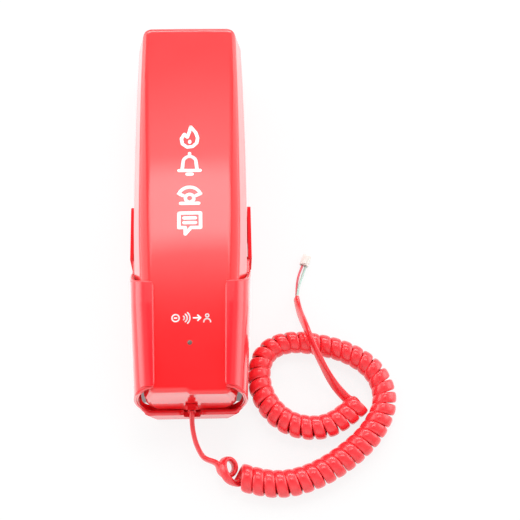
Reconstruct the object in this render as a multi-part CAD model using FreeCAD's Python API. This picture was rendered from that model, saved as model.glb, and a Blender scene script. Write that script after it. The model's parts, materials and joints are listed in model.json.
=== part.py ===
"""Wall telephone: a one-piece handset standing in an open cradle, with a curly cord.

The phone lies on its back: z = 0 is the wall side, +Z points out of the front and +Y to the ear end.
The origin is under the middle of the phone without its cord. Units are millimetres.
"""
import FreeCAD
import Part
import math
import os

V = FreeCAD.Vector
X_AXIS = V(1, 0, 0)
Y_AXIS = V(0, 1, 0)
Z_AXIS = V(0, 0, 1)

# ---------------------------------------------------------------- driving dimensions
# Handset, outside
handset_length = 222.3          # ear end to cord end
handset_width = 63.7            # widest place, at the seam between the shells
seam_z = 30.0                   # height of the seam between front and rear shell
face_ends_z = 45.8              # front face at both ends
face_crown = 4.8                # rise of the face's long arc above its ends
side_lean = 3.7                 # how far a side leans in from the seam to the face
mouth_rear_z = 5.5              # rear face of the mouth end
ear_rear_z = 9.0                # rear face of the ear end
grip_rear_z = 24.0              # rear face of the grip
mouth_length = 46.0             # length of the thick mouth end
ear_length = 50.0               # length of the thick ear end
ramp_length = 17.0              # slope between a thick end and the grip
shell_wall = 2.0
top_corner_r = 6.5              # corners of the outline at the ear end
bottom_corner_r = 3.0           # corners of the outline at the cord end
face_edge_r = 2.6               # rounding of the face's edge at the cord end
top_edge_r = 4.2                # and at the ear end
rear_edge_r = 4.0               # rounding of the rear's edge at the ear end
mouth_edge_r = 2.2              # and at the cord end
cord_end_inset = 7.4            # how much narrower each side is at the cord end
cord_taper_share = 0.5          # share of the length over which it narrows
ear_end_inset = 1.6             # the same at the ear end
ear_taper_share = 0.38
section_power = 4.0             # squareness of the rear's section

# Cradle
rest_gap = 0.3                  # handset to what it rests on
shelf_wall = 3.0                # bottom wall that the handset stands on
shelf_height = 9.0
plate_t = 2.2                   # back plate and crossbar
plate_half = 22.5               # half width of the back plate
sheath_wall = 2.0
sheath_length = 76.0            # bottom of the cradle to the sheath's top edge at its sides
sheath_floor = 13.0             # length of the closed floor at the bottom end
side_slot_z = 4.6               # lower edge of the sheath's sides above the open slots
window_top = 20.0               # half width between the lips at their top
window_bottom = 18.6            # the same at their lower ends
lip_gap = 0.6                   # lip to the handset's face
tongue_top = 87.2               # bottom of the cradle to the seam between sheath and rail
tongue_height = 20.0
rail_top = 121.0                # bottom of the cradle to the rails' upper ends
rail_outer = 34.4               # half width over the rails
rail_t = 1.9
crossbar_width = 16.0
notch_width = 9.0               # cord notch in the shelf
notch_depth = 4.6
lip_cut_slope = 0.53            # top edge of the lips: run along Y for each unit of height
mouth_inset = 3.4               # bottom of the cradle to the open lower end's rim
mouth_lip_inset = 2.4           # how much further in the lips' own lower ends stop
mouth_lip_z = 43.0              # height from which they slant in
sheath_taper = 3.6              # how much narrower each side is at the bottom end
sheath_corner_r = 5.0           # length over which its corners round in
sheath_corner_in = 2.6          # and by how much on each side
sheath_hug = 0.5                # how much closer the sheath is at its top edge than the rest gap and its wall
sheath_side_z = 27.0            # height of its widest line
sheath_low_side = (1.8, 14.0)   # a point of its lower side: in from the widest line, and height
sheath_low_corner = (5.2, 5.2)  # and of its lower corner
sheath_floor_edge = 0.6         # back plate's edge to the lower corner's start, at the tongues
sheath_floor_taper = 0.6        # share of the narrowing that the floor follows
lip_bend = (0.25, 11.5)         # where the side starts to bend into the lip: share of the shoulder, drop
lip_drop = 3.6                  # height of the bend's tightest part below the lip
lip_shoulder = 3.2              # width of the rounding from a side to its lip, at the bottom end
shoulder_ease = 0.9             # how much less it is at the top
corner_slot_y0 = 6.5            # open slots through the sheath's lower corners
corner_slot_y1 = 16.0
corner_slot_z = 16.0
corner_slot_r = 3.0
floor_pilot_r = 1.2             # screws that hold the sheath's floor to the frame
screw_clear_r = 1.5
floor_head_r = 2.7
floor_head_t = 1.4

# Wall fixing
screw_slot_r = 2.2
screw_slot_length = 8.4
screw_spacing = 60.0
upper_slot_inset = 8.0          # rail tops to the upper slot's centre

# Receiver and microphone
receiver_r = 16.0
receiver_t = 9.0
receiver_inset = 27.0           # ear end to the receiver's centre
ear_pad = 1.6                   # extra thickness behind the receiver
ear_dish_r = 19.0
ear_dish_depth = 1.2
gasket_t = 1.5
screen_t = 0.4
sound_hole_r = 1.1
mic_r = 4.85
mic_t = 6.0
mic_boot_wall = 1.3
mic_inset = 17.5                # cord end to the microphone's centre
mic_hole_r = 0.9

# Circuit board and what it carries
board_length = 104.0
board_half = 17.0
board_t = 1.6
board_inset = 10.5              # cord end to the board's lower edge
board_z = 31.4                  # underside of the board
board_screw_r = 1.25
board_post_r = 2.8
board_post_x = 13.0
led_r = 1.5
led_flange_r = 1.9
led_proud = 0.9
led_inset = 25.8                # cord end to the lamp's centre
led_leg_r = 0.25
led_leg_x = 0.9
led_holder_wall = 1.0
part_gap = 0.1                  # seat of a part on its neighbour

# Hook plunger and its switch
plunger_x = 8.0
plunger_inset = 37.5            # cord end to the plunger's axis
plunger_r = 2.2
plunger_fit = 0.05              # radial clearance in its guide
plunger_travel = 2.0
plunger_flange_r = 4.2
plunger_flange_t = 1.2
bump_height = 2.2               # pad on the back plate that presses the plunger
switch_size = (6.4, 12.8, 6.2)
switch_button_t = 0.9
spring_wire_r = 0.3
spring_turns = 6

# Fasteners
case_screw_r = 1.5
case_head_r = 2.9
case_head_t = 2.0
case_boss_r = 4.6
screw_fit = 0.05
head_fit = 0.2
plug_t = 1.2

# Cord
cord_width = 5.4                # flat cord, width
cord_thickness = 2.6
lead_r = 2.6                    # round tube that stands for the flat cord
coil_r = 7.0                    # outer radius of the curly part
wire_r = 0.65
grommet_length = 3.2            # outside the shell
grommet_flange_t = 1.2
exit_z = 16.5

# ---------------------------------------------------------------- worked out from them
overall_length = shelf_wall + rest_gap + handset_length
cradle_y0 = -overall_length / 2
handset_y0 = cradle_y0 + shelf_wall + rest_gap
handset_y1 = handset_y0 + handset_length
handset_half = handset_width / 2
inner_rear_mouth = mouth_rear_z + shell_wall
inner_rear_ear = ear_rear_z + shell_wall + ear_pad
board_y0 = handset_y0 + board_inset
board_y1 = board_y0 + board_length
board_top = board_z + board_t
rail_y1 = cradle_y0 + rail_top
tongue_y1 = cradle_y0 + tongue_top
crossbar_y0 = rail_y1 - crossbar_width
slot_y1 = rail_y1 - upper_slot_inset
slot_y0 = slot_y1 - screw_spacing
plunger_y = handset_y0 + plunger_inset
case_head_low = grip_rear_z + plug_t + 0.1
plunger_tip_z = plate_t + bump_height + rest_gap
mic_y = handset_y0 + mic_inset
receiver_y = handset_y1 - receiver_inset
led_y = handset_y0 + led_inset


# ---------------------------------------------------------------- helpers
def box(x0, x1, y0, y1, z0, z1):
    return Part.makeBox(x1 - x0, y1 - y0, z1 - z0, V(x0, y0, z0))


def cyl(r, x, y, z0, z1):
    return Part.makeCylinder(r, z1 - z0, V(x, y, z0))


def ring(r_out, r_in, x, y, z0, z1):
    return cyl(r_out, x, y, z0, z1).cut(cyl(r_in, x, y, z0 - 1, z1 + 1))


def union(shapes):
    shapes = list(shapes)
    joined = shapes[0].fuse(shapes[1:]) if len(shapes) > 1 else shapes[0]
    return joined.removeSplitter()


def mirrored(shape):
    return shape.mirror(V(0, 0, 0), X_AXIS)


def both_sides(shape):
    return Part.makeCompound([shape, mirrored(shape)])


def rounded_wire(points, radii):
    """A closed wire through points, each corner rounded by its own radius."""
    count = len(points)
    edges = []
    ends = []
    for i, corner in enumerate(points):
        before, after = points[i - 1], points[(i + 1) % count]
        a = (before - corner).normalize()
        b = (after - corner).normalize()
        r = radii[i]
        if r <= 0:
            ends.append((corner, corner))
            continue
        half = a.getAngle(b) / 2
        reach = r / math.tan(half)
        start = corner + a * reach
        stop = corner + b * reach
        middle = corner + (a + b).normalize() * (r / math.sin(half) - r)
        edges.append((i, Part.Arc(start, middle, stop).toShape()))
        ends.append((start, stop))
    arcs = dict(edges)
    path = []
    for i in range(count):
        if i in arcs:
            path.append(arcs[i])
        start, stop = ends[i][1], ends[(i + 1) % count][0]
        if start.distanceToPoint(stop) > 1e-6:
            path.append(Part.makeLine(start, stop))
    return Part.Wire(Part.__sortEdges__(path))


def prism_x(points, radii, x0, x1):
    """A profile drawn in Y and Z, as thick along X as from x0 to x1."""
    wire = rounded_wire([V(x0, y, z) for y, z in points], radii)
    return Part.Face(wire).extrude(V(x1 - x0, 0, 0))


def prism_z(points, radii, z0, z1):
    wire = rounded_wire([V(x, y, z0) for x, y in points], radii)
    return Part.Face(wire).extrude(V(0, 0, z1 - z0))


def fillet_where(shape, radius, wanted):
    edges = [e for e in shape.Edges if wanted(e)]
    return shape.makeFillet(radius, edges)


# ---------------------------------------------------------------- handset shells
def end_round(y, radius_low, radius_high, inset):
    """Drop of a surface near the two ends, as a quarter circle of the given radius."""
    drop = 0.0
    for distance, radius in ((y - handset_y0 - inset, radius_low - inset), (handset_y1 - inset - y, radius_high - inset)):
        radius = max(radius, 0.4)
        if distance < radius:
            reach = (radius - distance) / radius
            drop += radius * (1 - math.sqrt(max(0.0, 1 - reach * reach)))
    return drop


def half_width(y):
    """Half width of the handset at its seam, before the corners are rounded."""
    share = (y - handset_y0) / handset_length
    taper = cord_end_inset * max(0.0, 1 - share / cord_taper_share) ** 2
    return handset_half - taper - ear_end_inset * max(0.0, 1 - (1 - share) / ear_taper_share) ** 2


def face_z(y):
    """Height of the front face at y: one long arc, close to a parabola."""
    middle = (handset_y0 + handset_y1) / 2
    return face_ends_z + face_crown * (1 - ((y - middle) / (handset_length / 2)) ** 2)


def smooth_step(share):
    share = min(1.0, max(0.0, share))
    return share * share * (3 - 2 * share)


def rear_z(y, inner=False):
    """Height of the rear face: thick mouth end, slim grip, thick ear end."""
    to_grip = smooth_step((y - handset_y0 - mouth_length) / ramp_length)
    to_ear = smooth_step((y - handset_y1 + ear_length + ramp_length) / ramp_length)
    ear = ear_rear_z + (ear_pad if inner else 0)
    return mouth_rear_z + (grip_rear_z - mouth_rear_z) * to_grip + (ear - grip_rear_z) * to_ear


def stations(inset):
    """Places along the length where a section is drawn, closer together where the shape turns."""
    y0, y1 = handset_y0 + inset, handset_y1 - inset
    near_ends = [0.0, 0.5, 1.5, 3.0, 5.0, 7.5]
    ramps = [handset_y0 + mouth_length + ramp_length * k / 4 for k in range(-1, 6)]
    ramps += [handset_y1 - ear_length - ramp_length * k / 4 for k in range(-1, 6)]
    long_run = [y0 + (y1 - y0) * share for share in (0.08, 0.15, 0.38, 0.5, 0.6, 0.86, 0.93)]
    places = [y0 + d for d in near_ends] + [y1 - d for d in near_ends] + ramps + long_run
    return sorted(set(round(y, 4) for y in places))


def rear_section(y, inset):
    half = half_width(y) - inset - end_round(y, bottom_corner_r, top_corner_r, inset)
    low = rear_z(y, inset > 0) + inset + end_round(y, mouth_edge_r, rear_edge_r, inset)
    points = []
    steps = 18
    for k in range(steps + 1):
        turn = math.pi * k / steps
        across, down = math.cos(turn), math.sin(turn)
        x = half * math.copysign(abs(across) ** (2 / section_power), across)
        z = seam_z - (seam_z - low) * max(down, 0.0) ** (2 / section_power)
        points.append(V(x, y, z))
    curve = Part.BSplineCurve()
    curve.interpolate(points)
    return Part.Wire([curve.toShape(), Part.makeLine(points[-1], points[0])])


def front_section(y, inset):
    half = half_width(y) - inset - end_round(y, bottom_corner_r, top_corner_r, inset)
    top = face_z(y) - inset - end_round(y, face_edge_r, top_edge_r, inset)
    edge_r = 1.6
    lean = side_lean * (top - seam_z) / (face_ends_z - seam_z)
    shoulder = V(half - lean * 0.92, y, top - edge_r)
    corner = V(half - lean - 0.35, y, top - 0.35)
    inner = V(half - lean - edge_r, y, top)
    points = [V(half, y, seam_z), shoulder, corner, inner]
    left = [V(-p.x, p.y, p.z) for p in points]
    edges = [Part.makeLine(points[0], points[1]), Part.Arc(points[1], points[2], points[3]).toShape(),
             Part.makeLine(points[3], left[3]), Part.Arc(left[3], left[2], left[1]).toShape(),
             Part.makeLine(left[1], left[0]), Part.makeLine(left[0], points[0])]
    return Part.Wire(edges)


def lofted(section, inset):
    return Part.makeLoft([section(y, inset) for y in stations(inset)], True, True)


def sound_holes(radius, x, y, pitch, rings, z0, z1):
    """A round pattern of sound holes: one in the middle and rings of six more each."""
    holes = [cyl(radius, x, y, z0, z1)]
    for ring_number in range(1, rings + 1):
        for k in range(6 * ring_number):
            turn = 2 * math.pi * k / (6 * ring_number)
            reach = pitch * ring_number
            holes.append(cyl(radius, x + reach * math.cos(turn), y + reach * math.sin(turn), z0, z1))
    return holes


def case_screw_places():
    """Two case screws on the centre line, one in each half of the grip."""
    low = handset_y0 + mouth_length + ramp_length + case_boss_r + 1.0
    high = handset_y1 - ear_length - ramp_length - case_boss_r - 1.0
    return [(0.0, low), (0.0, high)]


def board_posts():
    return [(side * board_post_x, y) for side in (-1, 1) for y in (board_y0 + 4.0, board_y1 - 4.0)]


def handset_front_shell():
    outer = lofted(front_section, 0)
    cavity = lofted(front_section, shell_wall)
    shell = outer.cut(cavity)
    posts = [cyl(case_boss_r - 0.8, x, y, seam_z, face_z(y) - shell_wall / 2) for x, y in case_screw_places()]
    posts += [cyl(board_post_r, x, y, board_top, face_z(y) - shell_wall / 2) for x, y in board_posts()]
    shell = union([shell] + posts)
    ceiling = face_ends_z - shell_wall - 1.5
    cuts = [cyl(case_screw_r + screw_fit, x, y, seam_z - 1, ceiling) for x, y in case_screw_places()]
    cuts += [cyl(board_screw_r + screw_fit, x, y, board_z, board_top + 7.0) for x, y in board_posts()]
    cuts.append(cyl(led_r + part_gap, 0, led_y, face_ends_z - 5, face_ends_z + 10))
    cuts.append(grommet_slot().common(box(-20, 20, handset_y0 - 5, handset_y0 + 20, seam_z, seam_z + 1)))
    return shell.cut(cuts)


def grommet_slot():
    """The rectangular hole in the end wall that the cord's grommet sits in."""
    half_x, half_z = cord_thickness / 2 + 1.4, cord_width / 2 + 1.4
    return box(-half_x, half_x, handset_y0 - 2, handset_y0 + shell_wall + 1.5, exit_z - half_z, exit_z + half_z)


def handset_rear_shell():
    outer = lofted(rear_section, 0)
    cavity = lofted(rear_section, shell_wall)
    shell = outer.cut(cavity)
    bosses = [cyl(case_boss_r, x, y, rear_z(y) + 0.8, seam_z) for x, y in case_screw_places()]
    seat = ring(receiver_r + 2.0, receiver_r + part_gap, 0, receiver_y, inner_rear_ear - 0.8,
                inner_rear_ear + gasket_t + 4.0)
    mic_seat = ring(mic_r + mic_boot_wall + 1.4, mic_r + mic_boot_wall + part_gap, 0, mic_y,
                    inner_rear_mouth - 0.8, inner_rear_mouth + 3.5)
    guide = cyl(plunger_r + 2.2, plunger_x, plunger_y, mouth_rear_z + 0.8, inner_rear_mouth + 3.0)
    shell = union([shell, seat, mic_seat, guide] + bosses)
    cuts = []
    for x, y in case_screw_places():
        cuts.append(cyl(case_screw_r + 0.2, x, y, 0, seam_z + 1))
        cuts.append(cyl(case_head_r + head_fit, x, y, 0, case_head_low + case_head_t))
    cuts += sound_holes(sound_hole_r, 0, receiver_y, 4.2, 3, 0, inner_rear_ear + 1)
    cuts.append(Part.makeCone(ear_dish_r, ear_dish_r - 3.5, ear_dish_depth, V(0, receiver_y, ear_rear_z)))
    cuts.append(cyl(ear_dish_r, 0, receiver_y, 0, ear_rear_z))
    cuts += sound_holes(mic_hole_r, 0, mic_y, 2.4, 1, 0, inner_rear_mouth + 1)
    cuts.append(cyl(plunger_r + plunger_fit, plunger_x, plunger_y, 0, inner_rear_mouth + 4))
    cuts.append(cyl(receiver_r + part_gap, 0, receiver_y, inner_rear_ear, inner_rear_ear + 2.0))
    cuts.append(cyl(mic_r + mic_boot_wall + part_gap, 0, mic_y, inner_rear_mouth, inner_rear_mouth + 2.0))
    cuts.append(grommet_slot())
    return shell.cut(cuts)


# ---------------------------------------------------------------- inside the handset
def case_screws():
    screws = []
    for x, y in case_screw_places():
        head_top = case_head_low + case_head_t
        head = cyl(case_head_r, x, y, case_head_low, head_top)
        slots = [box(x - 1.9, x + 1.9, y - 0.35, y + 0.35, case_head_low, case_head_low + 1.0),
                 box(x - 0.35, x + 0.35, y - 1.9, y + 1.9, case_head_low, case_head_low + 1.0)]
        shank = cyl(case_screw_r, x, y, head_top, seam_z + 11.0)
        screws.append(union([head, shank]).cut(slots))
    return Part.makeCompound(screws)


def screw_plugs():
    """Soft plugs that close the screw wells, just below the grip's surface."""
    return Part.makeCompound([cyl(case_head_r + part_gap, x, y, case_head_low - plug_t, case_head_low)
                              for x, y in case_screw_places()])


def receiver_capsule():
    z0 = inner_rear_ear + gasket_t
    rim = cyl(receiver_r, 0, receiver_y, z0, z0 + 2.6)
    body = cyl(receiver_r - 1.6, 0, receiver_y, z0 + 2.6, z0 + receiver_t - 1.5)
    magnet = cyl(receiver_r * 0.5, 0, receiver_y, z0 + receiver_t - 1.5, z0 + receiver_t)
    tabs = [box(x - 1.4, x + 1.4, receiver_y - receiver_r + 3.5, receiver_y - receiver_r + 7.5,
                z0 + receiver_t - 1.5, z0 + receiver_t - 0.7) for x in (-4.0, 4.0)]
    mouth = cyl(receiver_r - 3.0, 0, receiver_y, z0 - 1, z0 + 1.2)
    return union([rim, body, magnet] + tabs).cut(mouth)


def receiver_diaphragm():
    z0 = inner_rear_ear + gasket_t
    rim = cyl(receiver_r - 3.0 - part_gap, 0, receiver_y, z0 + 0.9, z0 + 1.2)
    dome = Part.makeCone(6.0, 4.0, 0.5, V(0, receiver_y, z0 + 0.4))
    return union([rim, cyl(6.0, 0, receiver_y, z0 + 0.4, z0 + 0.9)]).cut(dome)


def receiver_gasket():
    return ring(receiver_r - 0.2, receiver_r - 3.0, 0, receiver_y, inner_rear_ear, inner_rear_ear + gasket_t)


def ear_dust_screen():
    return cyl(receiver_r - 3.2, 0, receiver_y, inner_rear_ear, inner_rear_ear + screen_t)


def microphone():
    z0 = inner_rear_mouth + screen_t
    body = cyl(mic_r, 0, mic_y, z0, z0 + mic_t)
    pins = [cyl(0.4, x, mic_y, z0 + mic_t, z0 + mic_t + 1.5) for x in (-1.3, 1.3)]
    return union([body] + pins)


def mic_boot():
    z0 = inner_rear_mouth
    cup = cyl(mic_r + mic_boot_wall, 0, mic_y, z0, z0 + screen_t + mic_t + 1.0)
    hollow = cyl(mic_r, 0, mic_y, z0 - 1, z0 + screen_t + mic_t)
    window = cyl(mic_r - 1.6, 0, mic_y, z0, z0 + 20)
    return cup.cut([hollow, window])


def mic_dust_screen():
    return cyl(mic_r, 0, mic_y, inner_rear_mouth, inner_rear_mouth + screen_t)


def main_board():
    board = prism_z([(-board_half, board_y0), (board_half, board_y0), (board_half, board_y1),
                     (-board_half, board_y1)], [2.0] * 4, board_z, board_top)
    cuts = [cyl(board_screw_r + 0.1, x, y, board_z - 1, board_top + 1) for x, y in board_posts()]
    cuts += [cyl(case_boss_r + 0.6, x, y, board_z - 1, board_top + 1) for x, y in case_screw_places()]
    cuts += [cyl(led_leg_r + part_gap, x, led_y, board_z - 1, board_top + 1) for x in (-led_leg_x, led_leg_x)]
    return board.cut(cuts)


def board_screws():
    screws = []
    for x, y in board_posts():
        head = cyl(2.3, x, y, board_z - 1.5, board_z)
        shank = cyl(board_screw_r, x, y, board_z, board_top + 6.0)
        slot = box(x - 1.5, x + 1.5, y - 0.3, y + 0.3, board_z - 1.6, board_z - 0.8)
        screws.append(union([head, shank]).cut(slot))
    return Part.makeCompound(screws)


def indicator_led():
    tip = face_z(led_y) + led_proud
    dome = Part.makeSphere(led_r, V(0, led_y, tip - led_r))
    body = cyl(led_r, 0, led_y, tip - 5.4, tip - led_r)
    flange = cyl(led_flange_r, 0, led_y, tip - 5.4, tip - 4.4)
    legs = [cyl(led_leg_r, x, led_y, board_z - 1.0, tip - 5.3) for x in (-led_leg_x, led_leg_x)]
    return union([dome, body, flange] + legs)


def led_holder():
    top = face_z(led_y) + led_proud - 5.4
    return ring(led_r + led_holder_wall, 1.3, 0, led_y, board_top, top)


def hook_switch():
    dx, dy, dz = switch_size
    x0, y0 = plunger_x - dx / 2, plunger_y - dy / 2
    case = prism_z([(x0, y0), (x0 + dx, y0), (x0 + dx, y0 + dy), (x0, y0 + dy)], [0.6] * 4, board_z - dz, board_z)
    button = cyl(1.2, plunger_x, plunger_y, board_z - dz - switch_button_t, board_z - dz)
    return union([case, button])


def plunger_levels():
    """Heights of the plunger's flange and top, from its guide and its switch."""
    flange_low = inner_rear_mouth + 3.0 + plunger_travel + part_gap
    top = board_z - switch_size[2] - switch_button_t - part_gap
    return flange_low, flange_low + plunger_flange_t, top


def hook_plunger():
    flange_low, flange_high, top = plunger_levels()
    tip_r = 1.0
    rod = cyl(plunger_r, plunger_x, plunger_y, plunger_tip_z, flange_low)
    rod = fillet_where(rod, tip_r, lambda e: e.BoundBox.ZMax < plunger_tip_z + 0.01)
    flange = cyl(plunger_flange_r, plunger_x, plunger_y, flange_low, flange_high)
    stem = cyl(1.3, plunger_x, plunger_y, flange_high, top)
    return union([rod, flange, stem])


def hook_spring():
    """Compression spring between the plunger's flange and the switch's case."""
    low = plunger_levels()[1] + spring_wire_r
    high = board_z - switch_size[2] - spring_wire_r
    coil_radius = 2.4
    helix = Part.makeHelix((high - low) / spring_turns, high - low, coil_radius)
    helix.translate(V(plunger_x, plunger_y, low))
    start = V(plunger_x + coil_radius, plunger_y, low)
    profile = Part.Wire(Part.makeCircle(spring_wire_r, start, Y_AXIS))
    return Part.Wire(helix.Edges).makePipeShell([profile], True, True)


def line_transformer():
    x, y = 0.0, board_y1 - 22.0
    core = prism_z([(x - 9, y - 7), (x + 9, y - 7), (x + 9, y + 7), (x - 9, y + 7)], [0.8] * 4, board_top, board_top + 9.5)
    winding = [box(x - 6.5, x + 6.5, y + side * 8.5 - 1.6, y + side * 8.5 + 1.6, board_top + 1.0, board_top + 8.5)
               for side in (-1, 1)]
    return union([core] + winding)


def capacitors():
    cans = []
    for x, y in ((-11.0, board_y1 - 40.0), (11.0, board_y1 - 40.0)):
        can = cyl(3.1, x, y, board_top, board_top + 8.5)
        groove = ring(4.0, 2.8, x, y, board_top + 1.2, board_top + 1.9)
        cans.append(can.cut(groove))
    return Part.makeCompound(cans)


def control_chip():
    x, y = 9.0, board_y0 + 45.0
    body = box(x - 3.0, x + 3.0, y - 5.0, y + 5.0, board_top + 0.2, board_top + 1.8)
    pins = [box(x + side * 3.9 - 0.9, x + side * 3.9 + 0.9, y + k * 1.27 - 0.2, y + k * 1.27 + 0.2,
                board_top, board_top + 0.6) for side in (-1, 1) for k in range(-3, 4)]
    return union([body] + pins)


def board_components():
    """Small resistors and diodes that lie across the board."""
    parts = []
    for row, y in enumerate((board_y0 + 30.0, board_y0 + 35.0, board_y0 + 57.0)):
        for x in (-9.5, 9.5):
            radius = 1.2 if row < 2 else 1.4
            body = Part.makeCylinder(radius, 6.0, V(x - 3.0, y, board_top + radius), X_AXIS)
            parts.append(body)
    return Part.makeCompound(parts)


def buzzer():
    x, y = -9.0, board_y0 + 46.0
    return cyl(6.0, x, y, board_top, board_top + 6.0).cut(cyl(1.1, x, y, board_top + 4.0, board_top + 7.0))


def cord_header():
    x0, y0 = -5.5, board_y0 + 1.0
    shell = box(x0, x0 + 11.0, y0, y0 + 5.6, board_z - 6.5, board_z)
    slot = box(x0 + 0.8, x0 + 10.2, y0 - 1, y0 + 4.8, board_z - 5.7, board_z - 0.9)
    return shell.cut(slot)


def cord_grommet():
    """Strain relief: a sleeve through the end wall with a flange outside and a flange inside."""
    half_x, half_z = cord_thickness / 2 + 1.2, cord_width / 2 + 1.2
    y0 = handset_y0
    sleeve = box(-half_x, half_x, y0 - 0.2, y0 + shell_wall + 0.2, exit_z - half_z, exit_z + half_z)
    outside = box(-half_x - 0.8, half_x + 0.8, y0 - grommet_flange_t, y0 - 0.15, exit_z - half_z - 0.8,
                  exit_z + half_z + 0.8)
    inside = box(-half_x - 1.0, half_x + 1.0, y0 + shell_wall + 0.15, y0 + shell_wall + 1.4,
                 exit_z - half_z - 1.0, exit_z + half_z + 1.0)
    snout = box(-half_x + 0.4, half_x - 0.4, y0 - grommet_length, y0 - grommet_flange_t + 0.1,
                exit_z - half_z + 0.4, exit_z + half_z - 0.4)
    hole = box(-cord_thickness / 2, cord_thickness / 2, y0 - grommet_length - 1, y0 + 10,
               exit_z - cord_width / 2, exit_z + cord_width / 2)
    return union([sleeve, outside, inside, snout]).cut(hole)


def inner_cord():
    """The cord's end inside the handset and its four cores, up to the header."""
    fit = part_gap / 2
    stub = box(-cord_thickness / 2 + fit, cord_thickness / 2 - fit, handset_y0 - grommet_length + 0.2,
               handset_y0 + shell_wall + 2.2, exit_z - cord_width / 2 + fit, exit_z + cord_width / 2 - fit)
    cores = []
    start_y = handset_y0 + shell_wall + 2.2
    header_y = board_y0 + 1.0
    for k in range(4):
        z = exit_z + (k - 1.5) * 1.2
        x = (k - 1.5) * 2.2
        route = [V(0, start_y, z), V(0.2 * x, start_y + 1.3, z + 0.6), V(x, header_y - 2.2, board_z - 6.0),
                 V(x, header_y + 4.0, board_z - 3.4)]
        cores.append(tube(route, 0.45))
    return Part.makeCompound([stub] + cores)


def tube(route, radius, report=""):
    """A round tube along straight runs joined by tangent arcs."""
    runs = [route[i + 1] - route[i] for i in range(len(route) - 1)]
    edges = []
    last = route[0]
    radii = []
    for i in range(1, len(route) - 1):
        back, ahead = runs[i - 1], runs[i]
        turn = back.getAngle(ahead)
        reach = 0.45 * min(back.Length, ahead.Length)
        bend = reach / math.tan(turn / 2)
        radii.append(round(bend, 1))
        start = route[i] - back.normalize() * reach
        stop = route[i] + V(ahead).normalize() * reach
        inward = (start + stop) * 0.5 - route[i]
        middle = route[i] + inward.normalize() * (bend / math.cos(turn / 2) - bend)
        edges.append(Part.makeLine(last, start))
        edges.append(Part.Arc(start, middle, stop).toShape())
        last = stop
    edges.append(Part.makeLine(last, route[-1]))
    path = Part.Wire(edges)
    first = (route[1] - route[0]).normalize()
    profile = Part.Wire(Part.makeCircle(radius, route[0], first))
    solid = path.makePipeShell([profile], True, True)
    if report:
        print(report, "length", round(path.Length, 1), "radii", radii, "volume share",
              round(solid.Volume / (math.pi * radius ** 2 * path.Length), 4))
    return solid


def receiver_wires():
    z_end = inner_rear_ear + gasket_t + receiver_t - 1.1
    wires = []
    for side in (-1, 1):
        x0, x1 = side * 6.0, side * 4.0
        y_end = receiver_y - receiver_r + 3.4
        y_boss = case_screw_places()[1][1]
        route = [V(x0, board_y1 - 6.0, board_z - 0.7), V(x0 * 1.1, board_y1 + 8.0, board_z - 1.2),
                 V(side * 8.0, y_boss - 2.0, seam_z - 0.5), V(side * 7.0, y_boss + 12.0, seam_z - 2.5),
                 V(x1 * 1.2, y_end - 4.0, z_end + 2.2), V(x1, y_end + 2.0, z_end + 0.9)]
        wires.append(tube(route, 0.5))
    return Part.makeCompound(wires)


def mic_wires():
    z0 = inner_rear_mouth + screen_t + mic_t + 1.5
    wires = []
    for side in (-1, 1):
        route = [V(side * 1.3, mic_y, z0 + 0.1), V(side * 1.6, mic_y + 1.0, z0 + 3.0), V(side * 3.2, mic_y + 5.5, z0 + 6.0),
                 V(side * 3.6, mic_y + 8.0, board_z - 3.0), V(side * 3.6, mic_y + 8.4, board_z - 0.05)]
        wires.append(tube(route, 0.45))
    return Part.makeCompound(wires)


# ---------------------------------------------------------------- cradle
def sheath_half(y):
    """Outside half width of the sheath along its length, rounded in towards the bottom end."""
    top = handset_half + rest_gap + sheath_wall - sheath_hug
    share = min(1.0, (y - cradle_y0) / sheath_length)
    narrow = sheath_taper * (1 - share)
    distance = y - cradle_y0
    corner = 0.0
    if distance < sheath_corner_r:
        reach = (sheath_corner_r - distance) / sheath_corner_r
        corner = sheath_corner_in * (1 - math.sqrt(max(0.0, 1 - reach * reach)))
    return top - narrow - corner


def sheath_section(y, inset):
    """A rounded C with its closing line across the front; inset makes the inside of the wall."""
    half = sheath_half(y) - inset
    lip = face_z(max(y, handset_y0)) + lip_gap + sheath_wall - inset
    narrowed = (sheath_half(tongue_y1) - sheath_half(y)) * sheath_floor_taper
    floor = plate_half + sheath_floor_edge - 0.35 * inset - narrowed
    shoulder = lip_shoulder - shoulder_ease * min(1.0, (y - cradle_y0) / (sheath_length * 0.75))
    points = [V(floor, y, inset), V(half - sheath_low_corner[0], y, sheath_low_corner[1] + 0.6 * inset),
              V(half - sheath_low_side[0], y, sheath_low_side[1]), V(half, y, sheath_side_z),
              V(half - lip_bend[0] * shoulder, y, lip - lip_bend[1]), V(half - shoulder, y, lip - lip_drop),
              V(window_bottom - 2.5, y, lip)]
    left = [V(-p.x, p.y, p.z) for p in points]
    curves = []
    for row in (points, left):
        curve = Part.BSplineCurve()
        curve.interpolate(row)
        curves.append(curve.toShape())
    return Part.Wire([curves[0], Part.makeLine(points[-1], left[-1]), curves[1], Part.makeLine(left[0], points[0])])


def sheath_loft(y0, y1, inset):
    places = [y0, y0 + 0.8, y0 + 2.2, y0 + 4.5, y0 + 8.0, y0 + 13.0, y0 + 20.0, y0 + 32.0, y0 + 50.0, y1]
    return Part.makeLoft([sheath_section(y, inset) for y in places], True, True)


def lips_cut():
    """Everything above the sheath's slanted top edge and above the tongues."""
    side_y = cradle_y0 + sheath_length
    side_z = 25.0
    points = [(side_y - lip_cut_slope * (70 - side_z), 70), (side_y + (side_z - tongue_height) * lip_cut_slope,
              tongue_height), (tongue_y1, tongue_height), (tongue_y1, -5), (tongue_y1 + 60, -5), (tongue_y1 + 60, 70)]
    return prism_x(points, [0, 2.0, 1.5, 0, 0, 0], -60, 60)


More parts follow.
